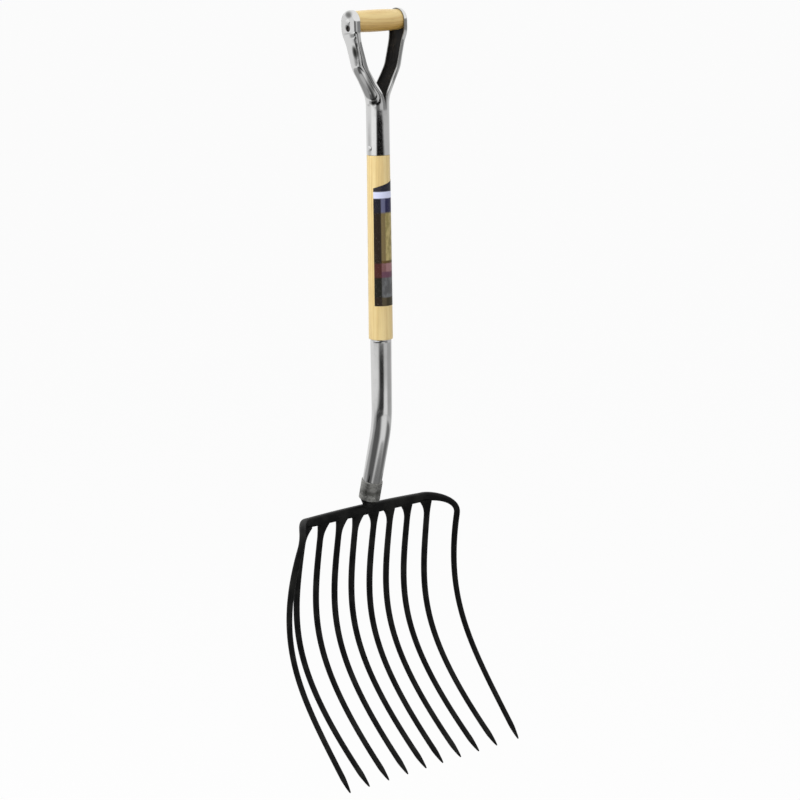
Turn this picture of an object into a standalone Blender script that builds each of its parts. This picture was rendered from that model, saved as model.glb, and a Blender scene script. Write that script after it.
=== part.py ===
# Ensilage fork: ten round tines on a bowed crossbar, a bent steel neck,
# a short ash shaft and a D handle of split steel tube with a wooden grip.
# Sizes are in metres. +Z is up, X runs along the crossbar, -Y is the side
# that the tines curve towards. The origin is where a rail would carry the
# hanging fork: under the middle of the wooden grip.

import bmesh
import bpy
from math import cos, pi, radians, sin, tan
from mathutils import Matrix, Vector

# Fits
FIT_GAP = 0.0003             # between pieces that touch
PIN_CLEARANCE = 0.0003       # round every rivet, all the way round
GRIP_CLEARANCE = 0.0006      # round the wooden grip, inside its cups

# Wooden grip and its rivet
GRIP_RADIUS = 0.0166         # at the middle of its barrel shape
GRIP_EDGE = 0.0035           # rounding of its two ends
GRIP_RIVET_RADIUS = 0.0025
GRIP_RIVET_HEAD_RADIUS = 0.0048
GRIP_RIVET_HEAD_HEIGHT = 0.0016

# Yoke: one steel tube, split above the crotch and spread into two channels
YOKE_WALL = 0.0016
YOKE_TUBE_RADIUS = 0.0178
YOKE_TUBE_LENGTH = 0.073     # from its lower rim to the crotch
ARM_OUT_ANGLE = radians(33)  # lean of the lower run of each arm
ARM_UP_ANGLE = radians(16)   # lean of the upper run
ARM_OUT_BEND = 0.045         # bend radii, at the middle of the lips
ARM_UP_BEND = 0.040
ARM_TOP_BEND = 0.040
ARM_OUT_RUN = 0.037          # straight runs between the bends
ARM_UP_RUN = 0.040
ARM_TOP_RUN = 0.0118         # the last one, alongside the grip
ARM_LEAN = radians(2)        # the arms lean back a little from the crotch
ARM_HALF_WIDTH = 0.0148      # channel above the crotch
ARM_DEPTH = 0.0132
ARM_NECK_HALF_WIDTH = 0.0146  # channel just under the cup
CUP_RADIUS = 0.0176
CUP_DEPTH = 0.009
CUP_CORNER = 0.005
CUP_HOLE_RADIUS = 0.0043     # hole punched below the grip's rivet
CUP_HOLE_DROP = 0.010
# The channel at shares of the way from the crotch to the grip
ARM_WIDTHS = ((0, YOKE_TUBE_RADIUS), (0.4, ARM_HALF_WIDTH),
              (0.75, ARM_NECK_HALF_WIDTH), (0.93, CUP_RADIUS))
ARM_DEPTHS = ((0, YOKE_TUBE_RADIUS), (0.4, ARM_DEPTH), (0.8, CUP_DEPTH))
ARM_CORNERS = ((0, YOKE_TUBE_RADIUS), (0.4, 0.9 * ARM_DEPTH), (0.85, CUP_CORNER))

# Upper cross rivet
SOCKET_RIVET_RADIUS = 0.0024
SOCKET_RIVET_HEAD_RADIUS = 0.0042
SOCKET_RIVET_HEAD_HEIGHT = 0.0014
SOCKET_RIVET_RISE = 0.010    # above the yoke's lower rim

# Wooden shaft
SHAFT_LENGTH = 0.2824        # the bare wood between the two steel sockets
SHAFT_TOP_RADIUS = 0.01765
SHAFT_BOTTOM_RADIUS = 0.0186
SHAFT_EDGE = 0.0008
UPPER_SPIGOT_LENGTH = 0.055
LOWER_SPIGOT_LENGTH = 0.070
SPIGOT_CHAMFER = 0.002

# Neck: a tapered tube, bent back towards the bar
NECK_TOP_RADIUS = 0.0164
NECK_BOTTOM_RADIUS = 0.0150
NECK_WALL = 0.0018
NECK_TOP_RUN = 0.1063
NECK_BEND_RADIUS = 0.200
NECK_BEND = radians(14.4)
NECK_BOTTOM_RUN = 0.1027
NECK_LENGTH = NECK_TOP_RUN + NECK_BEND_RADIUS * NECK_BEND + NECK_BOTTOM_RUN
NECK_RIVET_RADIUS = 0.0024
NECK_RIVET_DROP = 0.022      # below the neck's top rim

# Collar crimped round the foot of the neck
COLLAR_LENGTH = 0.0305
COLLAR_WALL = 0.0012
COLLAR_EDGE = 0.0006
CRIMP_COUNT = 8
CRIMP_RADIUS = 0.0028        # across each dent
CRIMP_DEPTH = 0.0006
CRIMP_RISE = 0.008           # above the collar's lower rim

# Head: crossbar, shank and the two outer tines in one forging
BAR_TOP_DROP = 0.0112        # from the neck's lower rim, down to the bar's top
BAR_SET_BACK = 0.0040        # of the bar behind the shank's own line
BAR_HEIGHT = 0.0170          # at the middle
BAR_END_HEIGHT = 0.0147      # at the ends of the level part; its underside is level
BAR_DEPTH = 0.0125
BAR_ROUNDNESS = 3.2          # 2 is an ellipse, more is squarer
BAR_STRAIGHT = 0.120         # half the length of the level part
TANG_LENGTH = 0.045          # inside the neck
TANG_CHAMFER = 0.003
BOSS_RADIUS = 0.0132
BOSS_FOOT_RADIUS = 0.0070
BOSS_TAPER_START = 0.55      # share of the way down to the bar
OUTER_ROD_RADIUS = 0.0049
OUTER_MIDDLE_RADIUS = 0.0045
OUTER_LOW_RADIUS = 0.0042
SHOULDER_OUT = 0.0461        # from the level bar's end to the top of the outer tine
SHOULDER_FORWARD = 0.0345
SHOULDER_DROP = 0.0282
SHOULDER_RISE = 0.0015       # of the handle that lifts the shoulder's start
SHOULDER_START_PULL = 0.019
SHOULDER_END_PULL = 0.030
OUTER_SPREAD = 0.0149        # how far the outer tine's tip is out from its top
OUTER_ROOT_PULL = Vector((0.0183, 0.0501, -0.1621))
OUTER_TIP_PULL = Vector((0.0027, 0.1029, 0.1264))

# Eight inner tines
ROOT_PLACES = (0.020, 0.054, 0.092, 0.131)   # out from the middle, at the bar
BELLY_PLACES = (0.019, 0.0555, 0.0945, 0.1375)  # half way down
TIP_PLACES = (0.018, 0.057, 0.097, 0.1375)   # and at the tips
TINE_DROP = 0.3753           # from the bar's underside to the tips
TINE_SWEEP = 0.1500          # of the tips, forward of the bar
OUTER_TIP_SHORT = 0.0019     # the outer tips end this much higher
OUTER_TIP_REACH = 0.0047     # and this much further forward
ROOT_PULL_BACK = 0.0223      # handles of the tine's curve
ROOT_PULL_DOWN = 0.1419
TIP_PULL_BACK = 0.1962
TIP_PULL_UP = 0.1618
TINE_ROOT_RADIUS = 0.0050
TINE_LOW_RADIUS = 0.0043
TINE_POINT_LENGTH = 0.024
TINE_POINT_RADIUS = 0.0006
TINE_POINT_CURVE = 0.6       # 1 is a cone, less is a fuller point
WAIST_RADIUS = 0.0047        # sideways, just under the root
WAIST_DROP = 0.032
ROOT_FLARE_LENGTH = 0.026
ROOT_FLARE_INNER = 0.0155    # half width of the root towards the middle
ROOT_FLARE_OUTER = 0.0072    # and away from it
ROOT_FLARE_DEPTH = 0.0057
ROOT_COPE = 0.003            # how far up the root fits round the bar
TENON_RADIUS = 0.0034
TENON_LENGTH = 0.007
TENON_WASTE = 0.001          # trimmed off all round it

# Facets
ROUND_SIDES = 28
RIVET_SIDES = 16
TINE_SIDES = 10
TINE_RINGS = 15
BAR_SIDES = 14
SHOULDER_RINGS = 11
ARM_SECTION_STEPS = 18
CUP_SWEEP_STEPS = 10

# Levels, each from the one above it
GRIP_AXIS_Z = GRIP_RADIUS
UP_AXIS = Vector((0, 0, 1))


def arm_path(steps=3):
    # Middle of one arm's lips, from the crotch up to the grip's axis, as
    # (out from the middle, height, lean from upright, share of the way).
    turns = (
        (0.0, ARM_OUT_ANGLE, ARM_OUT_BEND, ARM_OUT_RUN),
        (ARM_OUT_ANGLE, ARM_UP_ANGLE, ARM_UP_BEND, ARM_UP_RUN),
        (ARM_UP_ANGLE, 0.0, ARM_TOP_BEND, ARM_TOP_RUN),
    )
    x, z, way = 0.0, 0.0, 0.0
    points = [(x, z, 0.0, way)]
    for start, end, radius, run in turns:
        step = (end - start) / steps
        for k in range(steps):
            lean = start + (k + 0.5) * step
            chord = 2 * radius * sin(abs(step) / 2)
            x += chord * sin(lean)
            z += chord * cos(lean)
            way += chord
            points.append((x, z, start + (k + 1) * step, way))
        for k in range(2):
            x += run / 2 * sin(end)
            z += run / 2 * cos(end)
            way += run / 2
            points.append((x, z, end, way))
    return [(px, pz, lean, w / way) for px, pz, lean, w in points]


ARM_PATH = arm_path()
ARM_SPREAD, ARM_RISE = ARM_PATH[-1][0], ARM_PATH[-1][1]
CROTCH_Z = GRIP_AXIS_Z - ARM_RISE
YOKE_RIM_Z = CROTCH_Z - YOKE_TUBE_LENGTH
SHAFT_Y = -ARM_RISE * tan(ARM_LEAN)
NECK_RIM_Z = YOKE_RIM_Z - SHAFT_LENGTH
CUP_FACE_X = ARM_SPREAD + CUP_DEPTH
TANG_RADIUS = NECK_BOTTOM_RADIUS - NECK_WALL - FIT_GAP


# Small helpers

def smooth(t):
    t = min(max(t, 0.0), 1.0)
    return t * t * (3 - 2 * t)


def blend(knots, t):
    # Value at t on a smooth run through (place, value) knots.
    for (t0, v0), (t1, v1) in zip(knots, knots[1:]):
        if t <= t1:
            return v0 + (v1 - v0) * smooth((t - t0) / (t1 - t0))
    return knots[-1][1]


def bezier(p0, p1, p2, p3, t):
    s = 1 - t
    return s**3 * p0 + 3 * s * s * t * p1 + 3 * s * t * t * p2 + t**3 * p3


def clear_scene():
    for item in list(bpy.data.objects):
        bpy.data.objects.remove(item, do_unlink=True)


def new_collection(name):
    collection = bpy.data.collections.new(name)
    bpy.context.scene.collection.children.link(collection)
    return collection


def material(name, colour, metallic, roughness):
    made = bpy.data.materials.new(name)
    made.use_nodes = True
    shader = made.node_tree.nodes["Principled BSDF"]
    shader.inputs["Base Color"].default_value = (*colour, 1)
    shader.inputs["Metallic"].default_value = metallic
    shader.inputs["Roughness"].default_value = roughness
    return made


def add_mesh(name, mesh, finish=None, cutter=False):
    made = bpy.data.objects.new(name, mesh)
    (cutters if cutter else parts).objects.link(made)
    if finish:
        mesh.materials.append(finish)
        mesh.shade_smooth()
        mesh.set_sharp_from_angle(angle=radians(35))
    made.hide_render = cutter
    made.display_type = "WIRE" if cutter else "TEXTURED"
    return made


def mesh_from_bmesh(name, bm):
    bmesh.ops.recalc_face_normals(bm, faces=bm.faces)
    mesh = bpy.data.meshes.new(name)
    bm.to_mesh(mesh)
    bm.free()
    return mesh


def loft(name, rings):
    # A closed skin over rings of equal point counts, flat at both ends.
    bm = bmesh.new()
    loops = [[bm.verts.new(point) for point in ring] for ring in rings]
    for low, high in zip(loops, loops[1:]):
        for k in range(len(low)):
            n = (k + 1) % len(low)
            bm.faces.new((low[k], low[n], high[n], high[k]))
    bm.faces.new(loops[0])
    bm.faces.new(loops[-1])
    return mesh_from_bmesh(name, bm)


def turned(name, profile, finish=None, sides=ROUND_SIDES, closed=False, cutter=False):
    # A profile of (radius, height) points, top to bottom, turned about Z.
    # A closed profile is the section of a ring with a bore.
    bm = bmesh.new()
    points = [bm.verts.new((radius, 0, height)) for radius, height in profile]
    for a, b in zip(points, points[1:]):
        bm.edges.new((a, b))
    if closed:
        bm.edges.new((points[-1], points[0]))
    mesh = bpy.data.meshes.new(name)
    bm.to_mesh(mesh)
    bm.free()
    made = add_mesh(name, mesh, finish, cutter)
    screw = made.modifiers.new("turn", "SCREW")
    screw.steps = sides
    screw.render_steps = sides
    screw.use_merge_vertices = True
    screw.merge_threshold = 0.00001
    screw.use_smooth_shade = True
    return made


def rod(name, radius, length, sides=RIVET_SIDES):
    # A plain cylinder along its own Z, used as a cutter.
    bm = bmesh.new()
    bmesh.ops.create_cone(bm, cap_ends=True, segments=sides, radius1=radius,
                          radius2=radius, depth=length)
    mesh = bpy.data.meshes.new(name)
    bm.to_mesh(mesh)
    bm.free()
    return add_mesh(name, mesh, cutter=True)


def combine(target, cutter, operation="DIFFERENCE"):
    boolean = target.modifiers.new(cutter.name, "BOOLEAN")
    boolean.operation = operation
    boolean.solver = "EXACT"
    boolean.object = cutter


# Paths of the neck, the bar and the tines

def neck_path(steps=7):
    # Middle line of the neck, from its top rim down.
    y, z = SHAFT_Y, NECK_RIM_Z
    points = [Vector((0, y, z))]
    z -= NECK_TOP_RUN
    points.append(Vector((0, y, z)))
    for k in range(steps):
        lean = (k + 0.5) * NECK_BEND / steps
        chord = 2 * NECK_BEND_RADIUS * sin(NECK_BEND / steps / 2)
        y += chord * sin(lean)
        z -= chord * cos(lean)
        points.append(Vector((0, y, z)))
    y += NECK_BOTTOM_RUN * sin(NECK_BEND)
    z -= NECK_BOTTOM_RUN * cos(NECK_BEND)
    points.append(Vector((0, y, z)))
    return points


NECK_FOOT = neck_path()[-1]
NECK_DOWN = Vector((0, sin(NECK_BEND), -cos(NECK_BEND)))
BAR_TOP_Z = NECK_FOOT.z - BAR_TOP_DROP
BAR_Z = BAR_TOP_Z - BAR_HEIGHT / 2
BAR_Y = NECK_FOOT.y + (NECK_FOOT.z - BAR_Z) * tan(NECK_BEND) + BAR_SET_BACK
BAR_UNDER_Z = BAR_TOP_Z - BAR_HEIGHT
TIP_Z = BAR_UNDER_Z - TINE_DROP
TIP_Y = BAR_Y - TINE_SWEEP

BAR_END = Vector((BAR_STRAIGHT, BAR_Y, BAR_UNDER_Z + BAR_END_HEIGHT / 2))
OUTER_TOP = BAR_END + Vector((SHOULDER_OUT, -SHOULDER_FORWARD, -SHOULDER_DROP))
OUTER_TIP = Vector((OUTER_TOP.x + OUTER_SPREAD, TIP_Y - OUTER_TIP_REACH, TIP_Z + OUTER_TIP_SHORT))


def bow_stations():
    # One half of the bow from the middle of the bar to the outer tip, as
    # (middle, half height, half depth, roundness of the section).
    stations = []
    for place in (0.0, 0.33, 0.67):
        height = (BAR_HEIGHT + (BAR_END_HEIGHT - BAR_HEIGHT) * place**2) / 2
        middle = Vector((BAR_STRAIGHT * place, BAR_Y, BAR_UNDER_Z + height))
        stations.append((middle, height, BAR_DEPTH / 2, BAR_ROUNDNESS))

    lift = Vector((SHOULDER_START_PULL, 0, SHOULDER_RISE))
    ease = OUTER_ROOT_PULL.normalized() * SHOULDER_END_PULL
    for k in range(SHOULDER_RINGS):
        t = k / SHOULDER_RINGS
        share = smooth(t / 0.8)
        middle = bezier(BAR_END, BAR_END + lift, OUTER_TOP - ease, OUTER_TOP, t)
        height = BAR_END_HEIGHT / 2 + (OUTER_ROD_RADIUS - BAR_END_HEIGHT / 2) * share
        depth = BAR_DEPTH / 2 + (OUTER_ROD_RADIUS - BAR_DEPTH / 2) * share
        stations.append((middle, height, depth, BAR_ROUNDNESS + (2 - BAR_ROUNDNESS) * share))

    radii = ((0, OUTER_ROD_RADIUS), (0.4, OUTER_MIDDLE_RADIUS), (1, OUTER_LOW_RADIUS))
    for t in tip_shares((OUTER_TIP - OUTER_TOP).length):
        middle = bezier(OUTER_TOP, OUTER_TOP + OUTER_ROOT_PULL,
                        OUTER_TIP + OUTER_TIP_PULL, OUTER_TIP, t)
        radius = blend(radii, t)
        stations.append((middle, radius, radius, 2))
    return stations


def tip_shares(length, first=0.0):
    # Even places along a tine, with closer ones over its point.
    tail = 1 - TINE_POINT_LENGTH / length
    shares = [first + (tail - first) * k / TINE_RINGS for k in range(TINE_RINGS + 1)]
    return shares + [(2 * tail + 1) / 3, (tail + 2) / 3, 1.0]


def frames(points, side):
    # A frame at each point: the direction of travel and two square axes,
    # the first of them kept as near to side as it can be.
    made = []
    for k, point in enumerate(points):
        before = points[max(k - 1, 0)]
        after = points[min(k + 1, len(points) - 1)]
        along = (after - before).normalized()
        across = (side - side.dot(along) * along).normalized()
        made.append((point, across, along.cross(across)))
        side = across
    return made


# Head

def superellipse(roundness, angle):
    c, s = cos(angle), sin(angle)
    return (abs(c) ** (2 / roundness) * (1 if c > 0 else -1),
            abs(s) ** (2 / roundness) * (1 if s > 0 else -1))


def pointed(points, radii):
    # Radii of a rod that draws down to a point over its last stretch.
    made = []
    for point, radius in zip(points, radii):
        left = (points[-1] - point).length / TINE_POINT_LENGTH
        share = 1 if left >= 1 else left ** TINE_POINT_CURVE
        made.append(TINE_POINT_RADIUS + (radius - TINE_POINT_RADIUS) * share)
    return made


def bow_middle_y(x):
    stations = bow_stations()
    for (low, *_), (high, *_) in zip(stations, stations[1:]):
        if low.x <= x <= high.x:
            return low.lerp(high, (x - low.x) / (high.x - low.x)).y
    return BAR_Y


def bow_rings(room=0.0):
    # Sections of one half of the bow, grown all round by the room asked for.
    middles, heights, depths, roundnesses = zip(*bow_stations())
    heights = pointed(middles, heights)
    depths = pointed(middles, depths)
    rings = []
    for k, (point, up, back) in enumerate(frames(middles, UP_AXIS)):
        ring = []
        for n in range(BAR_SIDES):
            c, s = superellipse(roundnesses[k], 2 * pi * n / BAR_SIDES)
            ring.append(point + back * (depths[k] + room) * c + up * (heights[k] + room) * s)
        rings.append(ring)
    return rings


def bow_mesh(name, room=0.0):
    half = bow_rings(room)
    other = [[Vector((-p.x, p.y, p.z)) for p in ring] for ring in half[:0:-1]]
    return loft(name, other + half)


def make_bow(finish):
    bow = add_mesh("head_bow", bow_mesh("head_bow"), finish)

    shank_drop = (BAR_Z - NECK_FOOT.z) / NECK_DOWN.z
    profile = [
        (0, TANG_LENGTH),
        (TANG_RADIUS - TANG_CHAMFER, TANG_LENGTH),
        (TANG_RADIUS, TANG_LENGTH - TANG_CHAMFER),
        (TANG_RADIUS, -FIT_GAP),
        (BOSS_RADIUS, -FIT_GAP),
        (BOSS_RADIUS, -BAR_TOP_DROP * BOSS_TAPER_START),
        ((BOSS_FOOT_RADIUS + BOSS_RADIUS) / 2, -BAR_TOP_DROP),
        (BOSS_FOOT_RADIUS, -shank_drop),
        (0, -shank_drop),
    ]
    shank = turned("shank_shape", profile, cutter=True)
    shank.location = NECK_FOOT
    shank.rotation_euler = (NECK_BEND, 0, 0)
    combine(bow, shank, "UNION")
    bore_sockets(bow, TENON_RADIUS + FIT_GAP, TENON_LENGTH + FIT_GAP)
    return bow


def bore_sockets(target, radius, depth):
    # The holes in the bar's underside that the tine roots stand in.
    for side in (-1, 1):
        for place in ROOT_PLACES:
            socket = rod("tine_socket", radius, 2 * depth)
            socket.location = (side * place, bow_middle_y(place), BAR_UNDER_Z)
            combine(target, socket)


def make_tine(number, side, places, bow_room, finish):
    root_place, belly_place, tip_place = places
    root = Vector((side * root_place, bow_middle_y(root_place), BAR_UNDER_Z))
    tip = Vector((side * tip_place, TIP_Y, TIP_Z))
    down = root + Vector((0, ROOT_PULL_BACK, -ROOT_PULL_DOWN))
    up = tip + Vector((0, TIP_PULL_BACK, TIP_PULL_UP))
    down.x = up.x = side * (8 * belly_place - root_place - tip_place) / 6

    length = (tip - root).length
    flare_end, waist_end = ROOT_FLARE_LENGTH / length, WAIST_DROP / length
    shares = [0.0, 0.3 * flare_end, 0.65 * flare_end, flare_end]
    shares += tip_shares(length, waist_end)
    points = [bezier(root, down, up, tip, t) for t in shares]

    waist = ((0, WAIST_RADIUS), (waist_end, WAIST_RADIUS),
             (3 * waist_end, TINE_ROOT_RADIUS), (1, TINE_LOW_RADIUS))
    sideways = pointed(points, [blend(waist, t) for t in shares])
    body = ((0, TINE_ROOT_RADIUS), (1, TINE_LOW_RADIUS))
    depthways = pointed(points, [blend(body, t) for t in shares])

    rings = []
    for k, (point, across, back) in enumerate(frames(points, Vector((1, 0, 0)))):
        gone = (point - root).length / ROOT_FLARE_LENGTH
        flare = (1 - min(gone, 1)) ** 2
        wide_in = sideways[k] + (ROOT_FLARE_INNER - sideways[k]) * flare
        wide_out = sideways[k] + (ROOT_FLARE_OUTER - sideways[k]) * flare
        deep = depthways[k] + (ROOT_FLARE_DEPTH - depthways[k]) * flare
        ring = []
        for n in range(TINE_SIDES):
            angle = 2 * pi * n / TINE_SIDES
            wide = wide_in if cos(angle) * side < 0 else wide_out
            ring.append(point + across * wide * cos(angle) + back * deep * sin(angle))
        rings.append(ring)
    # The root runs on up into the bar, and the bar's shape is then cut out of
    # it, so that it fits round the underside and leaves a tenon for the socket.
    rings.insert(0, [point + UP_AXIS * ROOT_COPE for point in rings[0]])
    for rise in (ROOT_COPE, TENON_LENGTH):
        ring = []
        for n in range(TINE_SIDES):
            angle = 2 * pi * n / TINE_SIDES
            spot = Vector((cos(angle), -sin(angle), 0)) * (TENON_RADIUS + TENON_WASTE)
            ring.append(root + spot + UP_AXIS * rise)
        rings.insert(0, ring)
    name = f"inner_tine_{number}"
    tine = add_mesh(name, loft(name, rings), finish)
    combine(tine, bow_room)
    return tine


# Neck, collar and their rivet

def make_neck(finish):
    route = neck_path()
    curve = bpy.data.curves.new("neck_route", "CURVE")
    curve.dimensions = "3D"
    curve.bevel_depth = 1.0
    curve.bevel_resolution = (ROUND_SIDES - 4) // 2
    spline = curve.splines.new("POLY")
    spline.points.add(len(route) - 1)
    gone = 0.0
    for k, point in enumerate(route):
        gone += (point - route[k - 1]).length if k else 0.0
        spline.points[k].co = (*point, 1)
        spline.points[k].radius = neck_radius(gone)
    guide = bpy.data.objects.new("neck_route", curve)
    cutters.objects.link(guide)
    view = bpy.context.evaluated_depsgraph_get()
    mesh = bpy.data.meshes.new_from_object(guide.evaluated_get(view))
    bpy.data.objects.remove(guide, do_unlink=True)
    bm = bmesh.new()
    bm.from_mesh(mesh)
    bmesh.ops.remove_doubles(bm, verts=bm.verts, dist=0.000001)
    bmesh.ops.recalc_face_normals(bm, faces=bm.faces)
    bm.to_mesh(mesh)
    bm.free()
    mesh.name = "neck_tube"
    neck = add_mesh("neck_tube", mesh, finish)
    wall = neck.modifiers.new("wall", "SOLIDIFY")
    wall.thickness = NECK_WALL
    wall.offset = -1
    wall.use_even_offset = True
    return neck


def neck_radius(drop):
    # Outer radius at a distance down the neck from its top rim.
    return NECK_TOP_RADIUS + (NECK_BOTTOM_RADIUS - NECK_TOP_RADIUS) * drop / NECK_LENGTH


def make_collar(finish):
    inner = neck_radius(NECK_LENGTH - COLLAR_LENGTH) + FIT_GAP
    outer = inner + COLLAR_WALL
    profile = [
        (inner, COLLAR_LENGTH),
        (outer - COLLAR_EDGE, COLLAR_LENGTH),
        (outer, COLLAR_LENGTH - COLLAR_EDGE),
        (outer, COLLAR_EDGE),
        (outer - COLLAR_EDGE, 0),
        (inner, 0),
    ]
    collar = turned("socket_collar", profile, finish, closed=True)
    collar.location = NECK_FOOT
    collar.rotation_euler = (NECK_BEND, 0, 0)
    ball = (CRIMP_RADIUS**2 + CRIMP_DEPTH**2) / (2 * CRIMP_DEPTH)
    for k in range(CRIMP_COUNT):
        angle = 2 * pi * (k + 0.5) / CRIMP_COUNT
        bm = bmesh.new()
        bmesh.ops.create_uvsphere(bm, u_segments=24, v_segments=16, radius=ball)
        mesh = bpy.data.meshes.new("crimp")
        bm.to_mesh(mesh)
        bm.free()
        crimp = add_mesh("crimp", mesh, cutter=True)
        reach = outer + ball - CRIMP_DEPTH
        spot = Vector((reach * cos(angle), reach * sin(angle), CRIMP_RISE))
        crimp.location = NECK_FOOT + Matrix.Rotation(NECK_BEND, 3, "X") @ spot
        crimp.rotation_euler = (NECK_BEND, 0, 0)
        combine(collar, crimp)
    return collar


def make_rivet(name, radius, head_radius, head_height, half_span, finish):
    # A rivet with a low round head on each end, along X.
    dome = [(head_radius * sin(a), half_span + head_height * cos(a))
            for a in (0, pi / 8, pi / 4, 3 * pi / 8)]
    dome[0] = (0, half_span + head_height)
    profile = dome + [(head_radius, half_span), (radius, half_span)]
    profile += [(r, -h) for r, h in reversed(profile)]
    rivet = turned(name, profile, finish, sides=RIVET_SIDES)
    rivet.rotation_euler = (0, pi / 2, 0)
    return rivet


def cross_hole(target, radius, place):
    hole = rod("rivet_hole", radius, 4 * CUP_FACE_X)
    hole.rotation_euler = (0, pi / 2, 0)
    hole.location = place
    combine(target, hole)


# Shaft

def make_shaft(finish):
    upper = YOKE_TUBE_RADIUS - YOKE_WALL - FIT_GAP
    lower = NECK_TOP_RADIUS - NECK_WALL - FIT_GAP
    lower_end = neck_radius(LOWER_SPIGOT_LENGTH) - NECK_WALL - FIT_GAP
    top = YOKE_RIM_Z - FIT_GAP
    bottom = NECK_RIM_Z + FIT_GAP
    profile = [
        (0, top + UPPER_SPIGOT_LENGTH),
        (upper - SPIGOT_CHAMFER, top + UPPER_SPIGOT_LENGTH),
        (upper, top + UPPER_SPIGOT_LENGTH - SPIGOT_CHAMFER),
        (upper, top),
        (SHAFT_TOP_RADIUS - SHAFT_EDGE, top),
        (SHAFT_TOP_RADIUS, top - SHAFT_EDGE),
        (SHAFT_BOTTOM_RADIUS, bottom + SHAFT_EDGE),
        (SHAFT_BOTTOM_RADIUS - SHAFT_EDGE, bottom),
        (lower, bottom),
        (lower_end, bottom - LOWER_SPIGOT_LENGTH + SPIGOT_CHAMFER),
        (lower_end - SPIGOT_CHAMFER, bottom - LOWER_SPIGOT_LENGTH),
        (0, bottom - LOWER_SPIGOT_LENGTH),
    ]
    shaft = turned("wood_shaft", profile, finish)
    shaft.location = (0, SHAFT_Y, 0)
    return shaft


# Yoke, grip and their rivets

def channel_section(half_width, depth, corner):
    # Outer outline of a channel from its front lip round to its back lip,
    # as (back, out) points at even steps along it.
    corner = min(corner, depth, half_width)
    flat, wall = 2 * (half_width - corner), depth - corner
    arc = corner * pi / 2
    whole = 2 * wall + 2 * arc + flat
    points = []
    for k in range(ARM_SECTION_STEPS + 1):
        way = whole * k / ARM_SECTION_STEPS
        mirrored = way > whole / 2
        way = whole - way if mirrored else way
        if way <= wall:
            back, out = -half_width, way
        elif way <= wall + arc:
            turn = (way - wall) / corner
            back = -half_width + corner * (1 - cos(turn))
            out = wall + corner * sin(turn)
        else:
            back, out = -half_width + corner + (way - wall - arc), depth
        points.append((-back if mirrored else back, out))
    return points


def yoke_rings():
    rings = []
    tube = channel_section(YOKE_TUBE_RADIUS, YOKE_TUBE_RADIUS, YOKE_TUBE_RADIUS)
    for place in (0.0, 0.5):
        height = YOKE_RIM_Z + YOKE_TUBE_LENGTH * place
        rings.append([Vector((out, SHAFT_Y + back, height)) for back, out in tube])
    for x, z, lean, way in ARM_PATH:
        section = channel_section(blend(ARM_WIDTHS, way), blend(ARM_DEPTHS, way),
                                  blend(ARM_CORNERS, way))
        ring = []
        for back, out in section:
            rise = z - out * sin(lean)
            spot = Vector((x + out * cos(lean), SHAFT_Y + back, CROTCH_Z + rise))
            spot.y += max(rise, 0) * tan(ARM_LEAN)
            ring.append(spot)
        rings.append(ring)
    return rings


def make_yoke(finish):
    bm = bmesh.new()
    rings = [[bm.verts.new(point) for point in ring] for ring in yoke_rings()]
    for low, high in zip(rings, rings[1:]):
        for k in range(ARM_SECTION_STEPS):
            bm.faces.new((low[k], low[k + 1], high[k + 1], high[k]))
    middle = ARM_SECTION_STEPS // 2
    axis = Vector((0, 0, GRIP_AXIS_Z))
    previous = rings[-1][middle:]
    for k in range(CUP_SWEEP_STEPS):
        turn = Matrix.Rotation(pi * (k + 1) / CUP_SWEEP_STEPS, 3, "X")
        fan = [bm.verts.new(axis + turn @ (vert.co - axis)) for vert in rings[-1][middle:]]
        bm.faces.new((previous[0], previous[1], fan[1]))
        for n in range(1, middle):
            bm.faces.new((previous[n], previous[n + 1], fan[n + 1], fan[n]))
        previous = fan
    bmesh.ops.remove_doubles(bm, verts=bm.verts, dist=0.000002)
    yoke = add_mesh("handle_yoke", mesh_from_bmesh("handle_yoke", bm), finish)
    mirror = yoke.modifiers.new("other_arm", "MIRROR")
    mirror.use_mirror_merge = True
    mirror.merge_threshold = 0.00005
    wall = yoke.modifiers.new("wall", "SOLIDIFY")
    wall.thickness = YOKE_WALL
    wall.offset = -1
    wall.use_even_offset = True
    return yoke


def make_grip(finish):
    end_radius = CUP_RADIUS - YOKE_WALL - GRIP_CLEARANCE
    half = CUP_FACE_X - YOKE_WALL - FIT_GAP
    bore = GRIP_RIVET_RADIUS + PIN_CLEARANCE
    profile = [(bore, half)]
    for k in range(4):
        turn = k * pi / 6
        profile.append((end_radius - GRIP_EDGE * (1 - sin(turn)), half - GRIP_EDGE * (1 - cos(turn))))
    for k in range(4):
        share = 1 - k / 3
        profile.append((end_radius + (GRIP_RADIUS - end_radius) * (1 - share**2), ARM_SPREAD * share))
    profile += [(r, -h) for r, h in reversed(profile[:-1])]
    grip = turned("wood_grip", profile, finish, closed=True)
    grip.rotation_euler = (0, pi / 2, 0)
    grip.location = (0, 0, GRIP_AXIS_Z)
    return grip


clear_scene()
parts = new_collection("ensilage_fork")
cutters = new_collection("cutters")

chrome = material("chromed_steel", (0.72, 0.72, 0.72), 1.0, 0.12)
ash = material("ash_wood", (0.76, 0.58, 0.28), 0.0, 0.45)
black = material("black_enamel", (0.012, 0.012, 0.012), 0.0, 0.35)
grey = material("grey_steel", (0.30, 0.30, 0.28), 1.0, 0.40)

yoke = make_yoke(chrome)
grip = make_grip(ash)
shaft = make_shaft(ash)
neck = make_neck(chrome)
collar = make_collar(grey)
bow = make_bow(black)

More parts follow.
